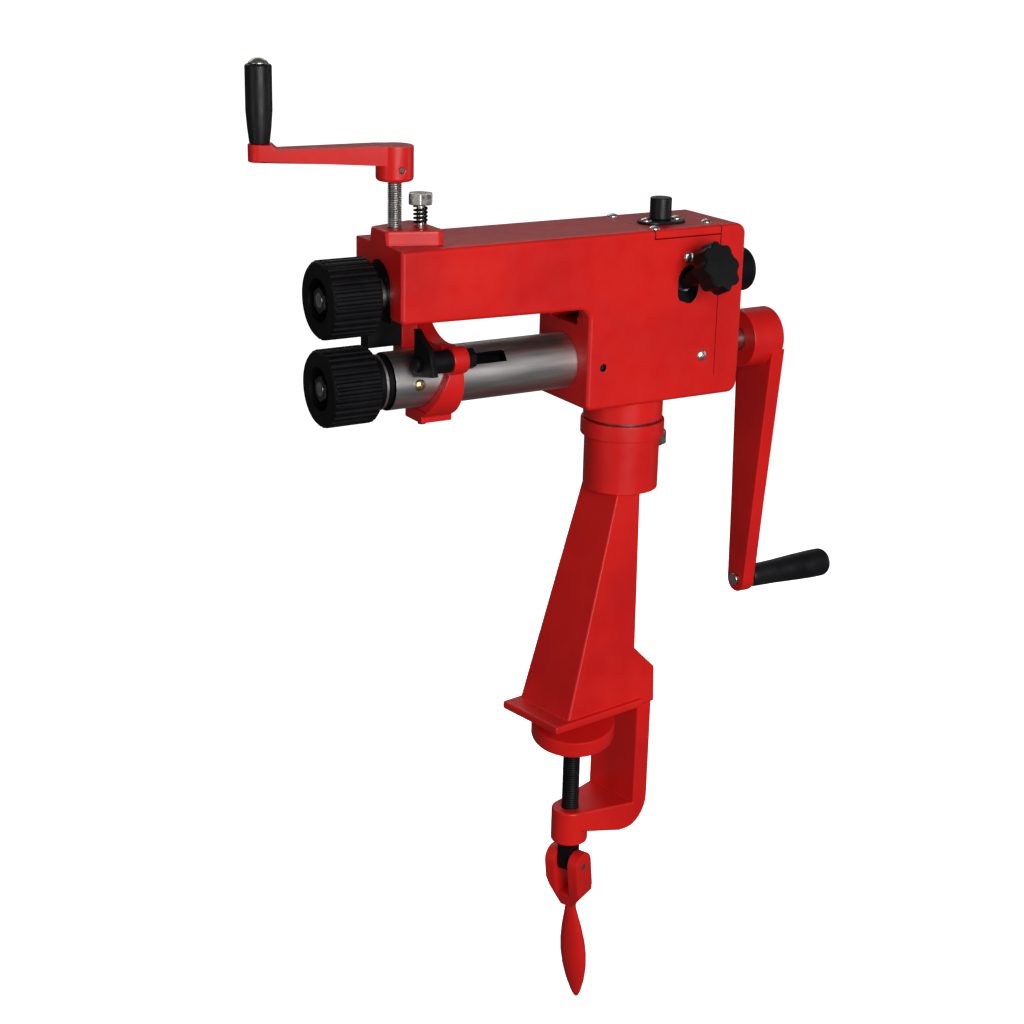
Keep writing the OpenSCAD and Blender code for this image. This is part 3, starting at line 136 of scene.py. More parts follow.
def add_studio_shell():
    bm = bmesh.new()
    bmesh.ops.create_uvsphere(bm, u_segments=64, v_segments=32, radius=SHELL_RADIUS)
    cut_level(bm, FLOOR_Z, above=True)
    bmesh.ops.recalc_face_normals(bm, faces=bm.faces)
    bmesh.ops.reverse_faces(bm, faces=bm.faces)
    mesh = bpy.data.meshes.new("studio_shell")
    bm.to_mesh(mesh)
    bm.free()
    mesh.materials.append(make_paper())
    shell = bpy.data.objects.new("studio_shell", mesh)
    bpy.context.scene.collection.objects.link(shell)
    shell.visible_diffuse = False
    shell.visible_glossy = False
    shell.visible_shadow = False


def add_area_light(name, place, target, size, power):
    light = bpy.data.lights.new(name, "AREA")
    light.shape = "RECTANGLE"
    light.size = size[0]
    light.size_y = size[1]
    light.energy = power
    holder = bpy.data.objects.new(name, light)
    bpy.context.scene.collection.objects.link(holder)
    way = Vector(target) - Vector(place)
    holder.location = place
    holder.rotation_euler = way.to_track_quat("-Z", "Y").to_euler()
    holder.visible_camera = False
    return holder


def add_world(colour, strength):
    world = bpy.data.worlds.new("studio")
    world.use_nodes = True
    background = world.node_tree.nodes["Background"]
    background.inputs["Color"].default_value = (*colour, 1.0)
    background.inputs["Strength"].default_value = strength
    bpy.context.scene.world = world


add_studio_shell()
add_world((1.0, 1.0, 1.0), 0.07)
add_area_light("key", (-0.45, -2.4, 0.75), (0, 0, 0.2), (1.5, 1.5), 60.0)
add_area_light("front_fill", (-2.4, -0.6, 0.4), (0, 0, 0.2), (0.9, 1.6), 6.0)
add_area_light("crank_side", (2.3, -0.9, 0.5), (0, 0, 0.2), (0.7, 1.4), 5.0)
add_area_light("top_sheen", (0.3, 1.7, 1.6), (0, 0, 0.3), (2.4, 0.8), 9.0)
far_fill = add_area_light("far_fill", (0.7, 2.4, 0.2), (0, 0, 0.15), (1.6, 1.4), 26.0)
far_fill.visible_glossy = False
bpy.context.scene.view_settings.view_transform = "Standard"
print("lights:", len(bpy.data.lights))

# %% [markdown]
# Every finish is built from noise on Object coordinates, so it needs no unwrapping and stays put
# when a piece moves. `Finish` keeps the few steps that all of them share: a noise, a colour ramp
# and a bump. Painted images would give more detail, but each piece would need a map of its own.

# %% Finish helper
NOISE_LOW, NOISE_HIGH = 0.3, 0.7


class Finish:
    def __init__(self, name, colour, metallic=0.0, roughness=0.5, coat=0.0, coat_roughness=0.1):
        self.material = bpy.data.materials.new(name)
        self.material.use_nodes = True
        self.tree = self.material.node_tree
        self.shader = self.tree.nodes["Principled BSDF"]
        self.shader.inputs["Base Color"].default_value = (*colour, 1.0)
        self.shader.inputs["Metallic"].default_value = metallic
        self.shader.inputs["Roughness"].default_value = roughness
        self.shader.inputs["Coat Weight"].default_value = coat
        self.shader.inputs["Coat Roughness"].default_value = coat_roughness
        self.place = self.tree.nodes.new("ShaderNodeTexCoord").outputs["Object"]
        self.normal = None

    def link(self, source, target):
        self.tree.links.new(source, target)

    def noise(self, scale, detail=3.0, stretch=None):
        texture = self.tree.nodes.new("ShaderNodeTexNoise")
        texture.inputs["Scale"].default_value = scale
        texture.inputs["Detail"].default_value = detail
        if stretch is None:
            self.link(self.place, texture.inputs["Vector"])
        else:
            mapping = self.tree.nodes.new("ShaderNodeMapping")
            mapping.inputs["Scale"].default_value = stretch
            self.link(self.place, mapping.inputs["Vector"])
            self.link(mapping.outputs["Vector"], texture.inputs["Vector"])
        return texture.outputs["Fac"]

    def ramp(self, value, stops):
        ramp = self.tree.nodes.new("ShaderNodeValToRGB")
        elements = ramp.color_ramp.elements
        while len(elements) < len(stops):
            elements.new(0.5)
        for element, (position, colour) in zip(elements, stops):
            element.position = position
            element.color = (*colour, 1.0)
        self.link(value, ramp.inputs["Fac"])
        return ramp.outputs["Color"]

    def spread(self, value, low, high):
        remap = self.tree.nodes.new("ShaderNodeMapRange")
        remap.inputs["From Min"].default_value = NOISE_LOW
        remap.inputs["From Max"].default_value = NOISE_HIGH
        remap.inputs["To Min"].default_value = low
        remap.inputs["To Max"].default_value = high
        self.link(value, remap.inputs["Value"])
        return remap.outputs["Result"]

    def colour(self, value):
        self.link(value, self.shader.inputs["Base Color"])

    def roughness(self, value):
        self.link(value, self.shader.inputs["Roughness"])

    def bump(self, value, strength, distance):
        bump = self.tree.nodes.new("ShaderNodeBump")
        bump.inputs["Strength"].default_value = strength
        bump.inputs["Distance"].default_value = distance
        self.link(value, bump.inputs["Height"])
        if self.normal is not None:
            self.link(self.normal, bump.inputs["Normal"])
        self.normal = bump.outputs["Normal"]
        self.link(self.normal, self.shader.inputs["Normal"])

    def done(self):
        print(self.material.name, "has", len(self.tree.nodes), "nodes")
        return self.material


# %% [markdown]
# The castings are sprayed with semi-gloss red enamel over sand-cast iron. Up close the paint has a
# fine orange peel over the faint lumps of the casting, and its red is a touch deeper where it lies
# thick. Two bumps, one coarse and one fine, are enough for that, because the lumps are much too low
# to show in the outline.

# %% Red enamel
RED_DEEP = (0.55, 0.008, 0.008)
RED_LIT = (0.68, 0.012, 0.009)


def make_enamel(name, deep, lit):
    finish = Finish(name, lit, roughness=0.42, coat=0.06, coat_roughness=0.2)
    finish.shader.inputs["Specular IOR Level"].default_value = 0.28
    finish.colour(finish.ramp(finish.noise(14.0, 4.0), [(0.32, deep), (0.62, lit)]))
    finish.roughness(finish.spread(finish.noise(60.0, 4.0), 0.32, 0.46))
    finish.bump(finish.noise(90.0, 2.0), 0.22, 0.0006)
    finish.bump(finish.noise(900.0, 2.0), 0.16, 0.00012)
    return finish.done()


red_enamel = make_enamel("red_enamel", RED_DEEP, RED_LIT)

# %% [markdown]
# The rolls, the clamp screw and the fence are steel blackened in a bath of hot oxide. It is nearly
# black with a low sheen, and the sheen varies in soft clouds where the oil has dried. The clouds
# are mostly in the roughness, since in the colour they would look like dust.

# %% Black oxide
def make_black_oxide():
    finish = Finish("black_oxide", (0.006, 0.006, 0.007), roughness=0.45)
    finish.shader.inputs["Specular IOR Level"].default_value = 0.13
    clouds = finish.noise(45.0, 5.0)
    finish.colour(finish.ramp(clouds, [
        (0.3, (0.002, 0.002, 0.003)), (0.75, (0.007, 0.006, 0.007)),
    ]))
    finish.roughness(finish.spread(finish.noise(120.0, 4.0), 0.36, 0.58))
    finish.bump(finish.noise(1400.0, 3.0), 0.2, 0.0001)
    return finish.done()


black_oxide = make_black_oxide()

# %% [markdown]
# Knobs and grips are moulded in black phenolic plastic. The mould leaves a fine, even grain, and
# handling polishes it a little in patches. The grips are handled most, so they are the glossier of
# the two. One function makes both, because only the colours and the gloss differ.

# %% Black plastic
def make_black_plastic(name, deep, lit, gloss):
    finish = Finish(name, lit, roughness=0.42)
    finish.shader.inputs["Specular IOR Level"].default_value = gloss
    finish.colour(finish.ramp(finish.noise(30.0, 3.0), [(0.3, deep), (0.7, lit)]))
    finish.roughness(finish.spread(finish.noise(80.0, 5.0), 0.3, 0.5))
    finish.bump(finish.noise(1800.0, 2.0), 0.12, 0.00008)
    return finish.done()


black_plastic = make_black_plastic(
    "black_plastic", deep=(0.004, 0.004, 0.005), lit=(0.010, 0.010, 0.012), gloss=0.3)
knob_plastic = make_black_plastic(
    "knob_plastic", deep=(0.002, 0.002, 0.003), lit=(0.006, 0.006, 0.007), gloss=0.16)

# %% [markdown]
# The tube and the shafts are turned and ground along X, so their marks are fine rings round the
# axis. Noise that is squeezed along X and stretched round the shaft gives those rings. A shader
# with stretched highlights could stand for them, but it would show no single ring.

# %% Ground steel
def make_ground_steel():
    finish = Finish("ground_steel", (0.6, 0.59, 0.58), metallic=1.0, roughness=0.3)
    rings = finish.noise(1.0, 3.0, stretch=(2600.0, 30.0, 30.0))
    streaks = finish.noise(1.0, 4.0, stretch=(9.0, 150.0, 150.0))
    finish.colour(finish.ramp(streaks, [(0.3, (0.33, 0.32, 0.31)), (0.7, (0.60, 0.58, 0.57))]))
    finish.roughness(finish.spread(finish.noise(1.0, 4.0, stretch=(14.0, 90.0, 90.0)), 0.34, 0.5))
    finish.bump(rings, 0.25, 0.00006)
    return finish.done()


ground_steel = make_ground_steel()

# %% [markdown]
# Small fasteners are zinc plated, bright with a faint warm tint, and a few screws and the bushes
# are brass. They are too small for marks, so a soft cloudy tint is enough, and one function with
# four pairs of colours makes all four metals.

# %% Zinc, brass and bare screw steel
def make_plated(name, deep, lit, low, high):
    finish = Finish(name, lit, metallic=1.0, roughness=low)
    finish.colour(finish.ramp(finish.noise(140.0, 3.0), [(0.3, deep), (0.7, lit)]))
    finish.roughness(finish.spread(finish.noise(260.0, 3.0), low, high))
    finish.bump(finish.noise(1600.0, 2.0), 0.12, 0.00005)
    return finish.done()


zinc_plate = make_plated("zinc_plate", (0.56, 0.53, 0.48), (0.74, 0.72, 0.68), 0.22, 0.38)
brass = make_plated("brass", (0.50, 0.33, 0.16), (0.70, 0.50, 0.27), 0.24, 0.4)
screw_steel = make_plated("screw_steel", (0.34, 0.33, 0.32), (0.55, 0.54, 0.53), 0.28, 0.44)
dark_steel = make_plated("dark_steel", (0.05, 0.05, 0.05), (0.13, 0.13, 0.13), 0.35, 0.55)

# %% [markdown]
# Where two castings meet, a hairline of dirt and shadow runs along the joint. The chamfer on both
# sides of a joint is given its own dark red, so the joint reads as a line at any distance. A real
# gap would be too thin to be seen from where the camera stands.

# %% Joint line
seam_line = make_enamel("seam_line", (0.035, 0.002, 0.002), (0.07, 0.004, 0.003))

# %% [markdown]
# Most pieces keep the exact form of their solid, and only need softer edges. A copy of the solid's
# mesh is merged, its flat faces are joined up again, and then its sharp edges are beveled. Large
# castings get a wide round on the edges that the sand mould rounds, and a fine one on the machined
# edges, so a list of tests says which edges get which width. A bevel modifier would be shorter, but
# it can't be asked to choose between edges by where they lie.

# %% Round the edges of a copied solid
SHARP_DEGREES = 28.0


def merged_copy(node_name):
    bm = bmesh.new()
    bm.from_mesh(frame["nodes"][node_name].data)
    bmesh.ops.remove_doubles(bm, verts=bm.verts, dist=0.005 * MM)
    bmesh.ops.dissolve_limit(bm, angle_limit=math.radians(0.6), verts=bm.verts, edges=bm.edges)
    return bm


def sharp_edges(bm, degrees=SHARP_DEGREES):
    limit = math.radians(degrees)
    return [e for e in bm.edges if e.is_manifold and e.calc_face_angle(0.0) > limit]


def bevel_edges(bm, edges, width, segments):
    if not edges:
        return []
    made = bmesh.ops.bevel(
        bm, geom=edges, offset=width, offset_type="OFFSET", segments=segments, profile=0.5,
        affect="EDGES", material=-1, clamp_overlap=False, loop_slide=True,
    )
    return made["faces"]


def merge_doubles(bm):
    bmesh.ops.remove_doubles(bm, verts=bm.verts, dist=0.003 * MM)


def middle(edge):
    return (edge.verts[0].co + edge.verts[1].co) / 2 / MM


# %% [markdown]
# Edges are picked by where they lie, and a few places come up again and again: the height of the
# lower shaft, the two upright screws in the nose, and the holes in the near side. They are read off
# the solids once, in millimetres, and named here.

# %% Places on the machine
SHAFT_Z = 278.3
DOWN_SCREW_X, SPRING_BOLT_X = -193.9, -174.0
REAR_KNOB_Y, REAR_KNOB_Z = -9.0, 335.0
SIDE_Y = 35.0
SET_SCREW, SET_SCREW_R = (-42.5, SHAFT_Z), 4.6
STAR_SLOT, STAR_SLOT_R = (29.6, 333.5), 19.0
TOP_SIDE_SCREW, LOW_SIDE_SCREW = (28.3, 353.4), (44.7, 278.7)
ON_FACE = 0.05


def from_hole(spot, hole):
    return math.hypot(spot.x - hole[0], spot.z - hole[1])


def is_at_side(edge):
    return all(abs(abs(v.co.y / MM) - SIDE_Y) < ON_FACE for v in edge.verts)


print("lower shaft at z", SHAFT_Z, "mm, sides at y", SIDE_Y, "mm either way")

# %% [markdown]
# The joints lie between the gearbox and its two covers: the lid on top and the cover at the rear.
# An edge belongs to a joint when it lies on the lid's underside or front, or on the rear cover's
# front or foot. The foot is a tight joint under paint, so it stays crisp and gets no line.

# %% Joints of the covers
SEAM_WIDTH = 0.45
NEAR_SEAM = 0.7
lid_low, lid_high = (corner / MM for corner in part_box("top_cover"))
rear_low, rear_high = (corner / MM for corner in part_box("rear_cover"))


def is_foot(edge):
    spot = middle(edge)
    return spot.x > rear_low.x - NEAR_SEAM and abs(spot.z - rear_low.z) < NEAR_SEAM


def is_joint(edge):
    spot = middle(edge)
    over_lid = lid_low.x - NEAR_SEAM < spot.x < lid_high.x + NEAR_SEAM
    under_lid = over_lid and abs(spot.z - lid_low.z) < NEAR_SEAM
    lid_front = abs(spot.x - lid_low.x) < NEAR_SEAM and spot.z > lid_low.z - NEAR_SEAM
    rear_front = abs(spot.x - rear_low.x) < NEAR_SEAM and spot.z > rear_low.z - NEAR_SEAM
    return under_lid or lid_front or rear_front or is_foot(edge)


print("lid from", [round(v, 1) for v in lid_low], "to", [round(v, 1) for v in lid_high])

# %% [markdown]
# A finished piece is shaded smooth except over its sharp edges. Weighted normals keep the large
# flats flat beside their rounded edges. Then the piece is hung on the body that carries it, and the
# solid that it stands for is hidden. `dress` does all of this for a copied solid in one call, since
# most of the pieces need the same steps with other widths.

# %% Finish a piece
SHADE_DEGREES = 36.0
FINE_DEGREES = 40.0
SEAM_DEGREES = 60.0


def shade_by_angle(bm):
    limit = math.radians(SHADE_DEGREES)
    for face in bm.faces:
        face.smooth = True
    for edge in bm.edges:
        edge.smooth = not edge.is_manifold or edge.calc_face_angle(0.0) < limit


def finish_piece(bm, name, node_name, materials, even_normals=True):
    shade_by_angle(bm)
    mesh = bpy.data.meshes.new(name)
    bm.to_mesh(mesh)
    bm.free()
    for material in materials:
        mesh.materials.append(material)
    piece = bpy.data.objects.new(name, mesh)
    bpy.context.scene.collection.objects.link(piece)
    if even_normals:
        weighted = piece.modifiers.new("even_normals", "WEIGHTED_NORMAL")
        weighted.mode = "FACE_AREA"
        weighted.keep_sharp = True
    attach(piece, body_of_node[node_name])
    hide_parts(node_name)
    print(name, "has", len(mesh.polygons), "faces")
    return piece


def dress(node_name, material, fine=0.4, rounds=(), is_seam=None, inside=None):
    bm = merged_copy(node_name)
    for is_chosen, width, segments in rounds:
        bevel_edges(bm, [e for e in sharp_edges(bm) if is_chosen(e)], width * MM, segments)
        merge_doubles(bm)
    materials = [material]
    if is_seam is not None:
        materials.append(seam_line)
        seam = [e for e in sharp_edges(bm, SEAM_DEGREES) if is_seam(e) and not is_foot(e)]
        for face in bevel_edges(bm, seam, SEAM_WIDTH * MM, 1):
            face.material_index = 1
    if fine:
        left = [e for e in sharp_edges(bm, FINE_DEGREES) if is_seam is None or not is_seam(e)]
        bevel_edges(bm, left, fine * MM, 2)
    merge_doubles(bm)
    # Painted shade: faces that the test picks get the black finish, for holes and bores that read
    # dark.
    if inside is not None:
        materials.append(black_oxide)
        for face in bm.faces:
            if inside(face.calc_center_median() / MM):
                face.material_index = len(materials) - 1
    return finish_piece(bm, "dressed_" + node_name, node_name, materials)


# %% [markdown]
# The head is one large casting, the gearbox with the arm in front of it. Its long outer edges are
# rounded by about three millimetres, and its machined holes keep fine edges. The pad on the nose
# has softer edges too. The faces in the slot behind the star knob and in the hole of the tube's set
# screw get the black finish as painted shade for these recesses. The outline of the exact solid
# already fits the photograph, so nothing is modelled anew here.

# %% Head casting
HEAD_HOLES = [
    (SET_SCREW, 7.0), (STAR_SLOT, STAR_SLOT_R), (TOP_SIDE_SCREW, 6.0), (LOW_SIDE_SCREW, 6.0),
]
PAD_LOW, PAD_REAR, PAD_HOLE_R = 376.0, -150.0, 9.0
HOLE_FRONT, HOLE_BACK = -34.4, -20.0


def is_head_outline(edge):
    spot = middle(edge)
    clear = all(from_hole(spot, hole) > room for hole, room in HEAD_HOLES)
    return is_at_side(edge) and clear and not is_joint(edge)


def is_pad_edge(edge):
    spot = middle(edge)
    to_screw = min(math.hypot(spot.x - x, spot.y) for x in (DOWN_SCREW_X, SPRING_BOLT_X))
    return spot.z > PAD_LOW and spot.x < PAD_REAR and to_screw >= PAD_HOLE_R


# Painted shade: faces in the star slot and in the set screw hole get the black finish.
def in_shaded_hole(spot):
    in_slot = from_hole(spot, STAR_SLOT) < STAR_SLOT_R
    in_screw_hole = from_hole(spot, SET_SCREW) < SET_SCREW_R
    return HOLE_FRONT < spot.y < HOLE_BACK and (in_slot or in_screw_hole)


dress("head_casting", red_enamel, fine=0.5, is_seam=is_joint, inside=in_shaded_hole,
      rounds=[(is_head_outline, 3.0, 3), (is_pad_edge, 2.2, 4)])

# %% [markdown]
# The covers are thinner castings, a lid and a rear cover, screwed to the gearbox. Their outer edges
# follow the gearbox's, and the edges at the joints stay crisp. The lid's other edges are the holes
# under its screws and its flange, so it gets no fine bevel.

# %% Covers
REAR_HOLES = [(0.0, SHAFT_Z), (REAR_KNOB_Y, REAR_KNOB_Z)]
REAR_HOLE_ROOM = 17.0


def is_cover_outline(edge):
    at_rear = all(abs(v.co.x / MM - rear_high.x) < ON_FACE for v in edge.verts)
    spot = middle(edge)
    near_hole = min(math.hypot(spot.y - y, spot.z - z) for y, z in REAR_HOLES) < REAR_HOLE_ROOM
    return (is_at_side(edge) or at_rear) and not (at_rear and near_hole) and not is_joint(edge)


for node_name, fine_width in (("rear_cover", 0.3), ("top_cover", 0.0)):
    dress(node_name, red_enamel, fine=fine_width, rounds=[(is_cover_outline, 2.6, 3)],
          is_seam=is_joint)

# %% [markdown]
# The stand carries the head in a round collar, and narrows the machine's load down to the clamp.
# It is one casting from the collar to the lower jaw, with generous rounds on its outer edges. The
# rounds leave out the collar and the threaded hole of the clamp, which are machined afterwards.

# %% Stand casting
SCREW_AXIS = (-39.01, -6.18)
SCREW_ROOM, COLLAR_FOOT = 12.0, 172.0


def is_stand_edge(edge):
    spot = middle(edge)
    near_screw = math.hypot(spot.x - SCREW_AXIS[0], spot.y - SCREW_AXIS[1]) < SCREW_ROOM
    return edge.is_convex and not near_screw and spot.z <= COLLAR_FOOT


dress("stand_casting", red_enamel, fine=0.6, rounds=[(is_stand_edge, 1.8, 3)])

# %% [markdown]
# The hub of the hold-down crank is rounded off at its foot, more than the rest of its arm. Only the
# outer rim of the foot is picked, because the rim of the bore is drilled and stays crisp.

# %% Hold-down crank
HUB_BORE_ROOM = 8.0
hub_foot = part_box("hold_down_arm")[0].z / MM


def is_hub_foot(edge):
    spot = middle(edge)
    from_screw = math.hypot(spot.x - DOWN_SCREW_X, spot.y)
    return spot.z < hub_foot + 2 * ON_FACE and from_screw > HUB_BORE_ROOM


dress("hold_down_arm", red_enamel, fine=0.9, rounds=[(is_hub_foot, 2.6, 4)])

# %% [markdown]
# The arms, pad, lever and guide are smaller castings in the same enamel. One width per piece is
# enough, because each of them is rounded much the same all over.

# %% Small castings
for node_name, width in (
    ("crank_arm", 1.4), ("clamp_pad", 1.6), ("clamp_lever", 0.7), ("guide_bracket", 0.9),
):
    dress(node_name, red_enamel, fine=width)

# %% [markdown]
# Turned and milled pieces have only a hair of a chamfer from deburring, so a fine bevel catches
# the light along their rims. Their forms are right already, so a table of names, finishes and bevel
# widths is all that thirty of them need.

# %% Turned and milled pieces
for node_name, material, slot, width in (
    ("lower_roll", black_oxide, "black_oxide", 0.25),
    ("upper_roll", black_oxide, "black_oxide", 0.25),
    ("lower_roll_nut", dark_steel, "black_oxide", 0.3),
    ("upper_roll_nut", dark_steel, "black_oxide", 0.3),
    ("lower_roll_washer", dark_steel, "black_oxide", 0.2),
    ("upper_roll_washer", dark_steel, "black_oxide", 0.2),
    ("tube_seal", black_oxide, "black_oxide", 0.5), ("tube_ring", ground_steel, "steel", 0.0),
    ("upper_shaft", screw_steel, "steel", 0.3), ("bearing_block", black_oxide, "black_oxide", 0.6),
    ("fence_plate", black_oxide, "black_oxide", 0.6),
    ("far_fence", black_oxide, "black_oxide", 0.6),
    ("fence_bolt", black_oxide, "black_oxide", 0.4),
    ("guide_screw", black_oxide, "black_oxide", 0.3),
    ("lever_pin", screw_steel, "black_oxide", 0.3), ("pad_washer", screw_steel, "steel", 0.2),
    ("collar_bolt", zinc_plate, "zinc_plate", 0.6), ("spring_bolt", zinc_plate, "zinc_plate", 0.9),
    ("crank_hub_pin", screw_steel, "steel", 0.4), ("hold_down_hub_pin", dark_steel, "steel", 0.3),
    ("crank_grip_pin", zinc_plate, "steel", 0.5), ("hold_down_grip_pin", zinc_plate, "steel", 0.5),
    ("swivel_spigot", ground_steel, "steel", 0.5),
    ("plunger_flange", black_plastic, "black_plastic", 0.4),
    ("top_knob", black_plastic, "black_plastic", 0.6), ("star_bush", screw_steel, "steel", 0.2),
    ("star_knob", knob_plastic, "black_plastic", 1.4),
    ("rear_knob", knob_plastic, "black_plastic", 0.6),
    ("crank_grip", black_plastic, "black_plastic", 0.6),
    ("hold_down_grip", black_plastic, "black_plastic", 0.5),
):
    dress(node_name, material, fine=width)

# %% [markdown]
# The tube is bright outside. Through the slot its bore and the shaft in it look black, so their
# inner faces get the black finish as painted shade. Shade alone would leave them grey, because
# bright metal mirrors whatever light gets in.

# %% Tube and lower shaft
SKIN_R = 19.6
TUBE_FRONT, TUBE_REAR = -200.0, -45.0


# Painted shade: the tube's bore and the stretch of shaft in the tube are picked for the black
# finish.
def in_bore(spot):
    return math.hypot(spot.y, spot.z - SHAFT_Z) < SKIN_R


def in_tube(spot):
    return TUBE_FRONT < spot.x < TUBE_REAR


dress("arm_tube", ground_steel, fine=0.3, inside=in_bore)
dress("lower_shaft", screw_steel, fine=0.3, inside=in_tube)

# %% [markdown]
# A thread is one strip of cut, a pitch tall, spun up round the screw's axis. Each turn of the strip
# ends where the next one starts, so merging them closes the wall. Two cutting planes trim it to
# length and leave flat rims, which are filled. The strip starts a little low, so that no corner of
# it lies exactly on a plane. A bump would be cheaper, but the outline of the screw would stay
# straight, and the outline is what shows against the paper.

# %% Thread
THREAD_STEPS = 28
CREST_START, CREST_END = 0.42, 0.58
START_DROP = 1.02


def add_thread(crest, depth, pitch, low, high):
    bm = bmesh.new()
    turns = math.ceil((high - low) / pitch) + 2
    core = crest - depth
    corners = [(core, 0.0), (crest, CREST_START), (crest, CREST_END), (core, 1.0)]
    verts = [
        bm.verts.new((radius * MM, 0.0, (low + (rise - START_DROP) * pitch) * MM))
        for radius, rise in corners
    ]
    strip = [bm.edges.new(pair) for pair in zip(verts, verts[1:])]
    bmesh.ops.spin(
        bm, geom=verts + strip, cent=(0, 0, 0), axis=(0, 0, 1),
        dvec=(0, 0, pitch * MM / THREAD_STEPS), angle=math.tau * turns, steps=THREAD_STEPS * turns,
        use_merge=False, use_normal_flip=False, use_duplicate=False,
    )
    bmesh.ops.remove_doubles(bm, verts=bm.verts, dist=0.02 * MM)
    cut_level(bm, low * MM, above=True)
    cut_level(bm, high * MM, above=False)
    bmesh.ops.delete(bm, geom=[e for e in bm.edges if e.is_wire], context="EDGES")
    bmesh.ops.recalc_face_normals(bm, faces=bm.faces)
    return bm


def move_to(bm, x, y):
    bmesh.ops.translate(bm, verts=bm.verts, vec=(x * MM, y * MM, 0.0))
    return bm


def join_into(whole, part):
    mesh = bpy.data.meshes.new("part")
    part.to_mesh(mesh)
    part.free()
    whole.from_mesh(mesh)
    bpy.data.meshes.remove(mesh)


# %% [markdown]
# The hold-down screw presses the bearing block down. It is a plain stud with a fine thread over its
# whole length, so the spun strip takes the place of the whole solid.

# %% Hold-down screw
down_low, down_high = (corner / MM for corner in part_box("hold_down_screw"))
down_x = (down_low.x + down_high.x) / 2
down_thread = add_thread(
    crest=(down_high.x - down_low.x) / 2, depth=0.9, pitch=1.5, low=down_low.z, high=down_high.z)
finish_piece(move_to(down_thread, down_x, 0.0), "hold_down_thread", "hold_down_screw",
             [screw_steel], even_normals=False)

# %% [markdown]
# The clamp screw keeps its ball at the top and its tongue at the foot. Its plain middle is taken
# out between two planes, and a coarser thread goes in its place. It laps the two ends a little, so
# that no light comes through at the planes.

# %% Clamp screw
CLAMP_THREAD_LOW, CLAMP_THREAD_HIGH = -108.0, -32.0
THREAD_LAP = 0.2
clamp_screw_bm = bmesh.new()
for height, above in ((CLAMP_THREAD_LOW, False), (CLAMP_THREAD_HIGH, True)):
    end = merged_copy("clamp_screw")
    cut_level(end, height * MM, above)
    bevel_edges(end, sharp_edges(end, FINE_DEGREES), 0.4 * MM, 2)
    merge_doubles(end)
    join_into(clamp_screw_bm, end)
clamp_thread = add_thread(
    crest=6.8, depth=0.55, pitch=2.0, low=CLAMP_THREAD_LOW - THREAD_LAP,
    high=CLAMP_THREAD_HIGH + THREAD_LAP)
join_into(clamp_screw_bm, move_to(clamp_thread, *SCREW_AXIS))
finish_piece(clamp_screw_bm, "dressed_clamp_screw", "clamp_screw", [black_oxide])

# %% [markdown]
# The return spring is a coil of round wire between the nose pad and the head of its bolt. A circle
# is spun up round the bolt and closed at both ends. When the bearing block goes down, the bolt
# pulls the coil together. The coil stands on the pad.

# %% Return spring
spring_low, spring_high = (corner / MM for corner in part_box("return_spring"))
WIRE = 0.8
COILS = 4.5
COIL_STEPS = 26
coil_x = (spring_low.x + spring_high.x) / 2
coil_radius = (spring_high.x - spring_low.x) / 2 - WIRE
coil = bmesh.new()
wire_start = Matrix.Translation((coil_radius * MM, 0.0, (spring_low.z + WIRE) * MM))
stand_up = Matrix.Rotation(math.pi / 2, 4, "X")
wire = bmesh.ops.create_circle(coil, segments=12, radius=WIRE * MM, matrix=wire_start @ stand_up)
coil_rise = spring_high.z - spring_low.z - 2 * WIRE
bmesh.ops.spin(
    coil, geom=wire["verts"] + coil.edges[:], cent=(0, 0, 0), axis=(0, 0, 1),
    dvec=(0, 0, coil_rise * MM / (COILS * COIL_STEPS)), angle=math.tau * COILS,
    steps=round(COILS * COIL_STEPS), use_merge=False, use_normal_flip=False, use_duplicate=False,
)
bmesh.ops.holes_fill(coil, edges=[e for e in coil.edges if e.is_boundary], sides=0)
bmesh.ops.recalc_face_normals(coil, faces=coil.faces)
spring = finish_piece(move_to(coil, coil_x, 0.0), "coil_spring", "return_spring",
                      [black_oxide], even_normals=False)
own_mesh(spring)

# %% [markdown]
# The small screws have pan heads with a cross recess. A head starts as a grid, because five of its
# cells make the cross: they are pushed down, the grid's rim is pulled to a circle, and rings of
# edges run from the rim down the head and the shank. The places come from the solids, one loose
# part for each screw.

# %% Pan head screw
HEAD_R, HEAD_BALL, SHANK_R = 4.2, 6.51, 1.8
FLAT_R = 2.6
CROSS_DEPTH, CROSS_TAPER = 1.3, 0.8


def dome(radius):
    return math.sqrt(HEAD_BALL ** 2 - radius ** 2) - HEAD_R


HEAD_RINGS = [(3.4, dome(3.4)), (3.95, 0.95), (HEAD_R, 0.5), (HEAD_R, 0.0), (SHANK_R, 0.0)]


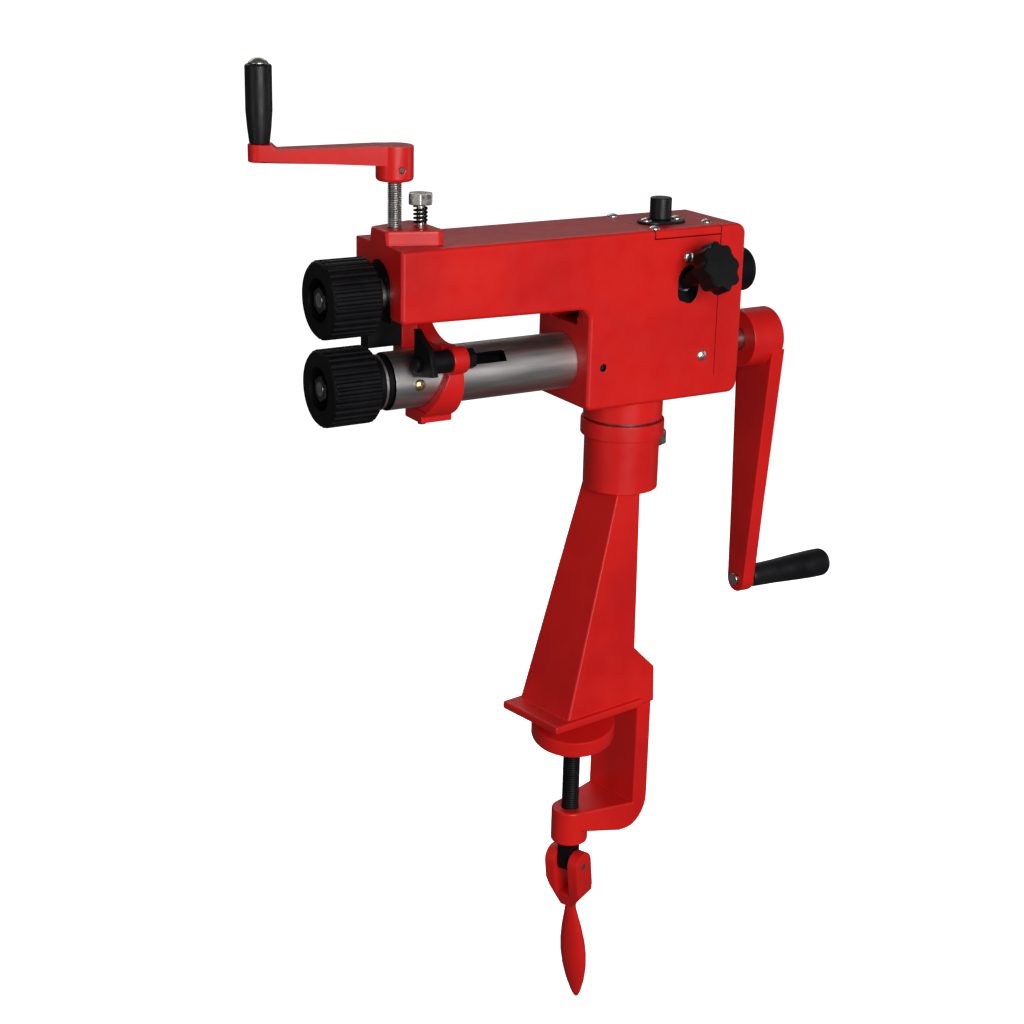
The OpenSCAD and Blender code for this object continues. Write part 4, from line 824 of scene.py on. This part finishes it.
def pan_screw(seat, way, shank):
    bm = bmesh.new()
    bmesh.ops.create_grid(bm, x_segments=5, y_segments=5, size=FLAT_R * MM)
    cross = []
    for face in bm.faces:
        across, along = sorted(abs(v) / (FLAT_R * MM) for v in face.calc_center_median().xy)
        if across < 0.1 and along < 0.6:
            cross.append(face)
    for vert in bm.verts:
        if vert.is_boundary:
            vert.co.xy = vert.co.xy.normalized() * FLAT_R * MM
        vert.co.z = dome(vert.co.xy.length / MM) * MM
    sunk = bmesh.ops.extrude_face_region(bm, geom=cross)["geom"]
    bmesh.ops.delete(bm, geom=[f for f in cross if f.is_valid], context="FACES")
    low = [v for v in sunk if isinstance(v, bmesh.types.BMVert)]
    bmesh.ops.scale(bm, vec=(CROSS_TAPER, CROSS_TAPER, 1.0), verts=low)
    bmesh.ops.translate(bm, vec=(0, 0, -CROSS_DEPTH * MM), verts=low)
    rim = [e for e in bm.edges if e.is_boundary]
    for radius, height in HEAD_RINGS + [(SHANK_R, -shank)]:
        ring = bmesh.ops.extrude_edge_only(bm, edges=rim)["geom"]
        rim = [e for e in ring if isinstance(e, bmesh.types.BMEdge)]
        for vert in (v for v in ring if isinstance(v, bmesh.types.BMVert)):
            vert.co.xy = vert.co.xy.normalized() * radius * MM
            vert.co.z = height * MM
    bmesh.ops.contextual_create(bm, geom=rim)
    bmesh.ops.recalc_face_normals(bm, faces=bm.faces)
    turn = Vector((0, 0, 1)).rotation_difference(Vector(way)).to_matrix().to_4x4()
    bmesh.ops.transform(bm, matrix=Matrix.Translation(Vector(seat) * MM) @ turn, verts=bm.verts)
    return bm


# %% [markdown]
# The set screw in the gearbox's side has no head. It is a short stud with a socket, sunk in its
# hole. A cylinder does for it, with one end face inset and pushed in, as no more of it is seen.

# %% Set screw
SOCKET_RIM, SOCKET_DEPTH = 0.45, 2.5


def set_screw(low, high):
    bm = bmesh.new()
    radius = (high.z - low.z) / 2 * MM
    lengthwise = Matrix.Translation((low + high) / 2 * MM) @ Matrix.Rotation(math.pi / 2, 4, "X")
    bmesh.ops.create_cone(
        bm, cap_ends=True, segments=24, radius1=radius, radius2=radius, depth=(high.y - low.y) * MM,
        matrix=lengthwise)
    face = min(bm.faces, key=lambda f: f.calc_center_median().y)
    bmesh.ops.inset_region(bm, faces=[face], thickness=SOCKET_RIM * radius, depth=0.0)
    bmesh.ops.inset_region(bm, faces=[face], thickness=0.02 * radius, depth=-SOCKET_DEPTH * MM)
    for face in bm.faces:
        face.material_index = 1
    return bm


# %% [markdown]
# Each group of small screws is one solid with a loose part for each screw. The parts are told apart
# by walking along the edges from vertex to vertex, and the box of each one gives its place and its
# length. Typed places would be shorter, but they would be wrong as soon as a solid moved.

# %% Loose parts of a solid
def loose_boxes(node_name):
    bm = merged_copy(node_name)
    left = set(bm.verts)
    boxes = []
    while left:
        found, waiting = set(), [left.pop()]
        while waiting:
            vert = waiting.pop()
            found.add(vert)
            for edge in vert.link_edges:
                other = edge.other_vert(vert)
                if other in left:
                    left.discard(other)
                    waiting.append(other)
        spots = [v.co / MM for v in found]
        boxes.append((Vector([min(p[i] for p in spots) for i in range(3)]),
                      Vector([max(p[i] for p in spots) for i in range(3)])))
    bm.free()
    print(node_name, "has", len(boxes), "loose parts")
    return boxes


# %% [markdown]
# The screws of the covers point up, and those of the side and the tube point at the viewer. A part
# that is as wide as a pan head gets one, and the narrow one is the set screw. So one loop serves
# all three groups, and no list says which screw is which.

# %% Place the screws
HEAD_H = dome(0.0)
PAN_WIDTH = 2 * HEAD_R - 0.2


def screws_of(node_name, up, materials):
    whole = bmesh.new()
    for low, high in loose_boxes(node_name):
        centre = (low + high) / 2
        if up:
            seat = Vector((centre.x, centre.y, high.z - HEAD_H))
            screw = pan_screw(seat, (0, 0, 1), seat.z - low.z)
        elif high.z - low.z > PAN_WIDTH:
            seat = Vector((centre.x, low.y + HEAD_H, centre.z))
            screw = pan_screw(seat, (0, -1, 0), high.y - seat.y)
        else:
            screw = set_screw(low, high)
        join_into(whole, screw)
    finish_piece(whole, "dressed_" + node_name, node_name, materials)


for node_name, up, materials, slot in (
    ("cover_screws", True, [zinc_plate], "zinc_plate"),
    ("side_screws", False, [zinc_plate], "zinc_plate"),
    ("tube_screws", False, [brass, dark_steel], "bronze"),
):
    screws_of(node_name, up, materials)

# %% [markdown]
# Gears, bushes and washers are inside the castings. Their solids stay as they are and only take
# the metal that each is made of, since no edge of theirs is seen. The threaded bush in the nose is
# painted over with the casting.

# %% Inner pieces
INNER_METALS = {
    "collar_washer": dark_steel, "lower_front_bush": brass, "lower_rear_bush": brass,
    "upper_socket": brass, "hold_down_nut": red_enamel, "front_swivel_bush": brass,
    "rear_swivel_bush": brass, "lower_gear": dark_steel, "upper_gear": dark_steel,
    "lower_gear_key": screw_steel, "upper_gear_key": screw_steel, "adjuster_screw": screw_steel,
}
for node_name, material in INNER_METALS.items():
    solid = frame["nodes"][node_name]
    solid.data.materials.clear()
    solid.data.materials.append(material)
print("solids kept as they are:", len(INNER_METALS))
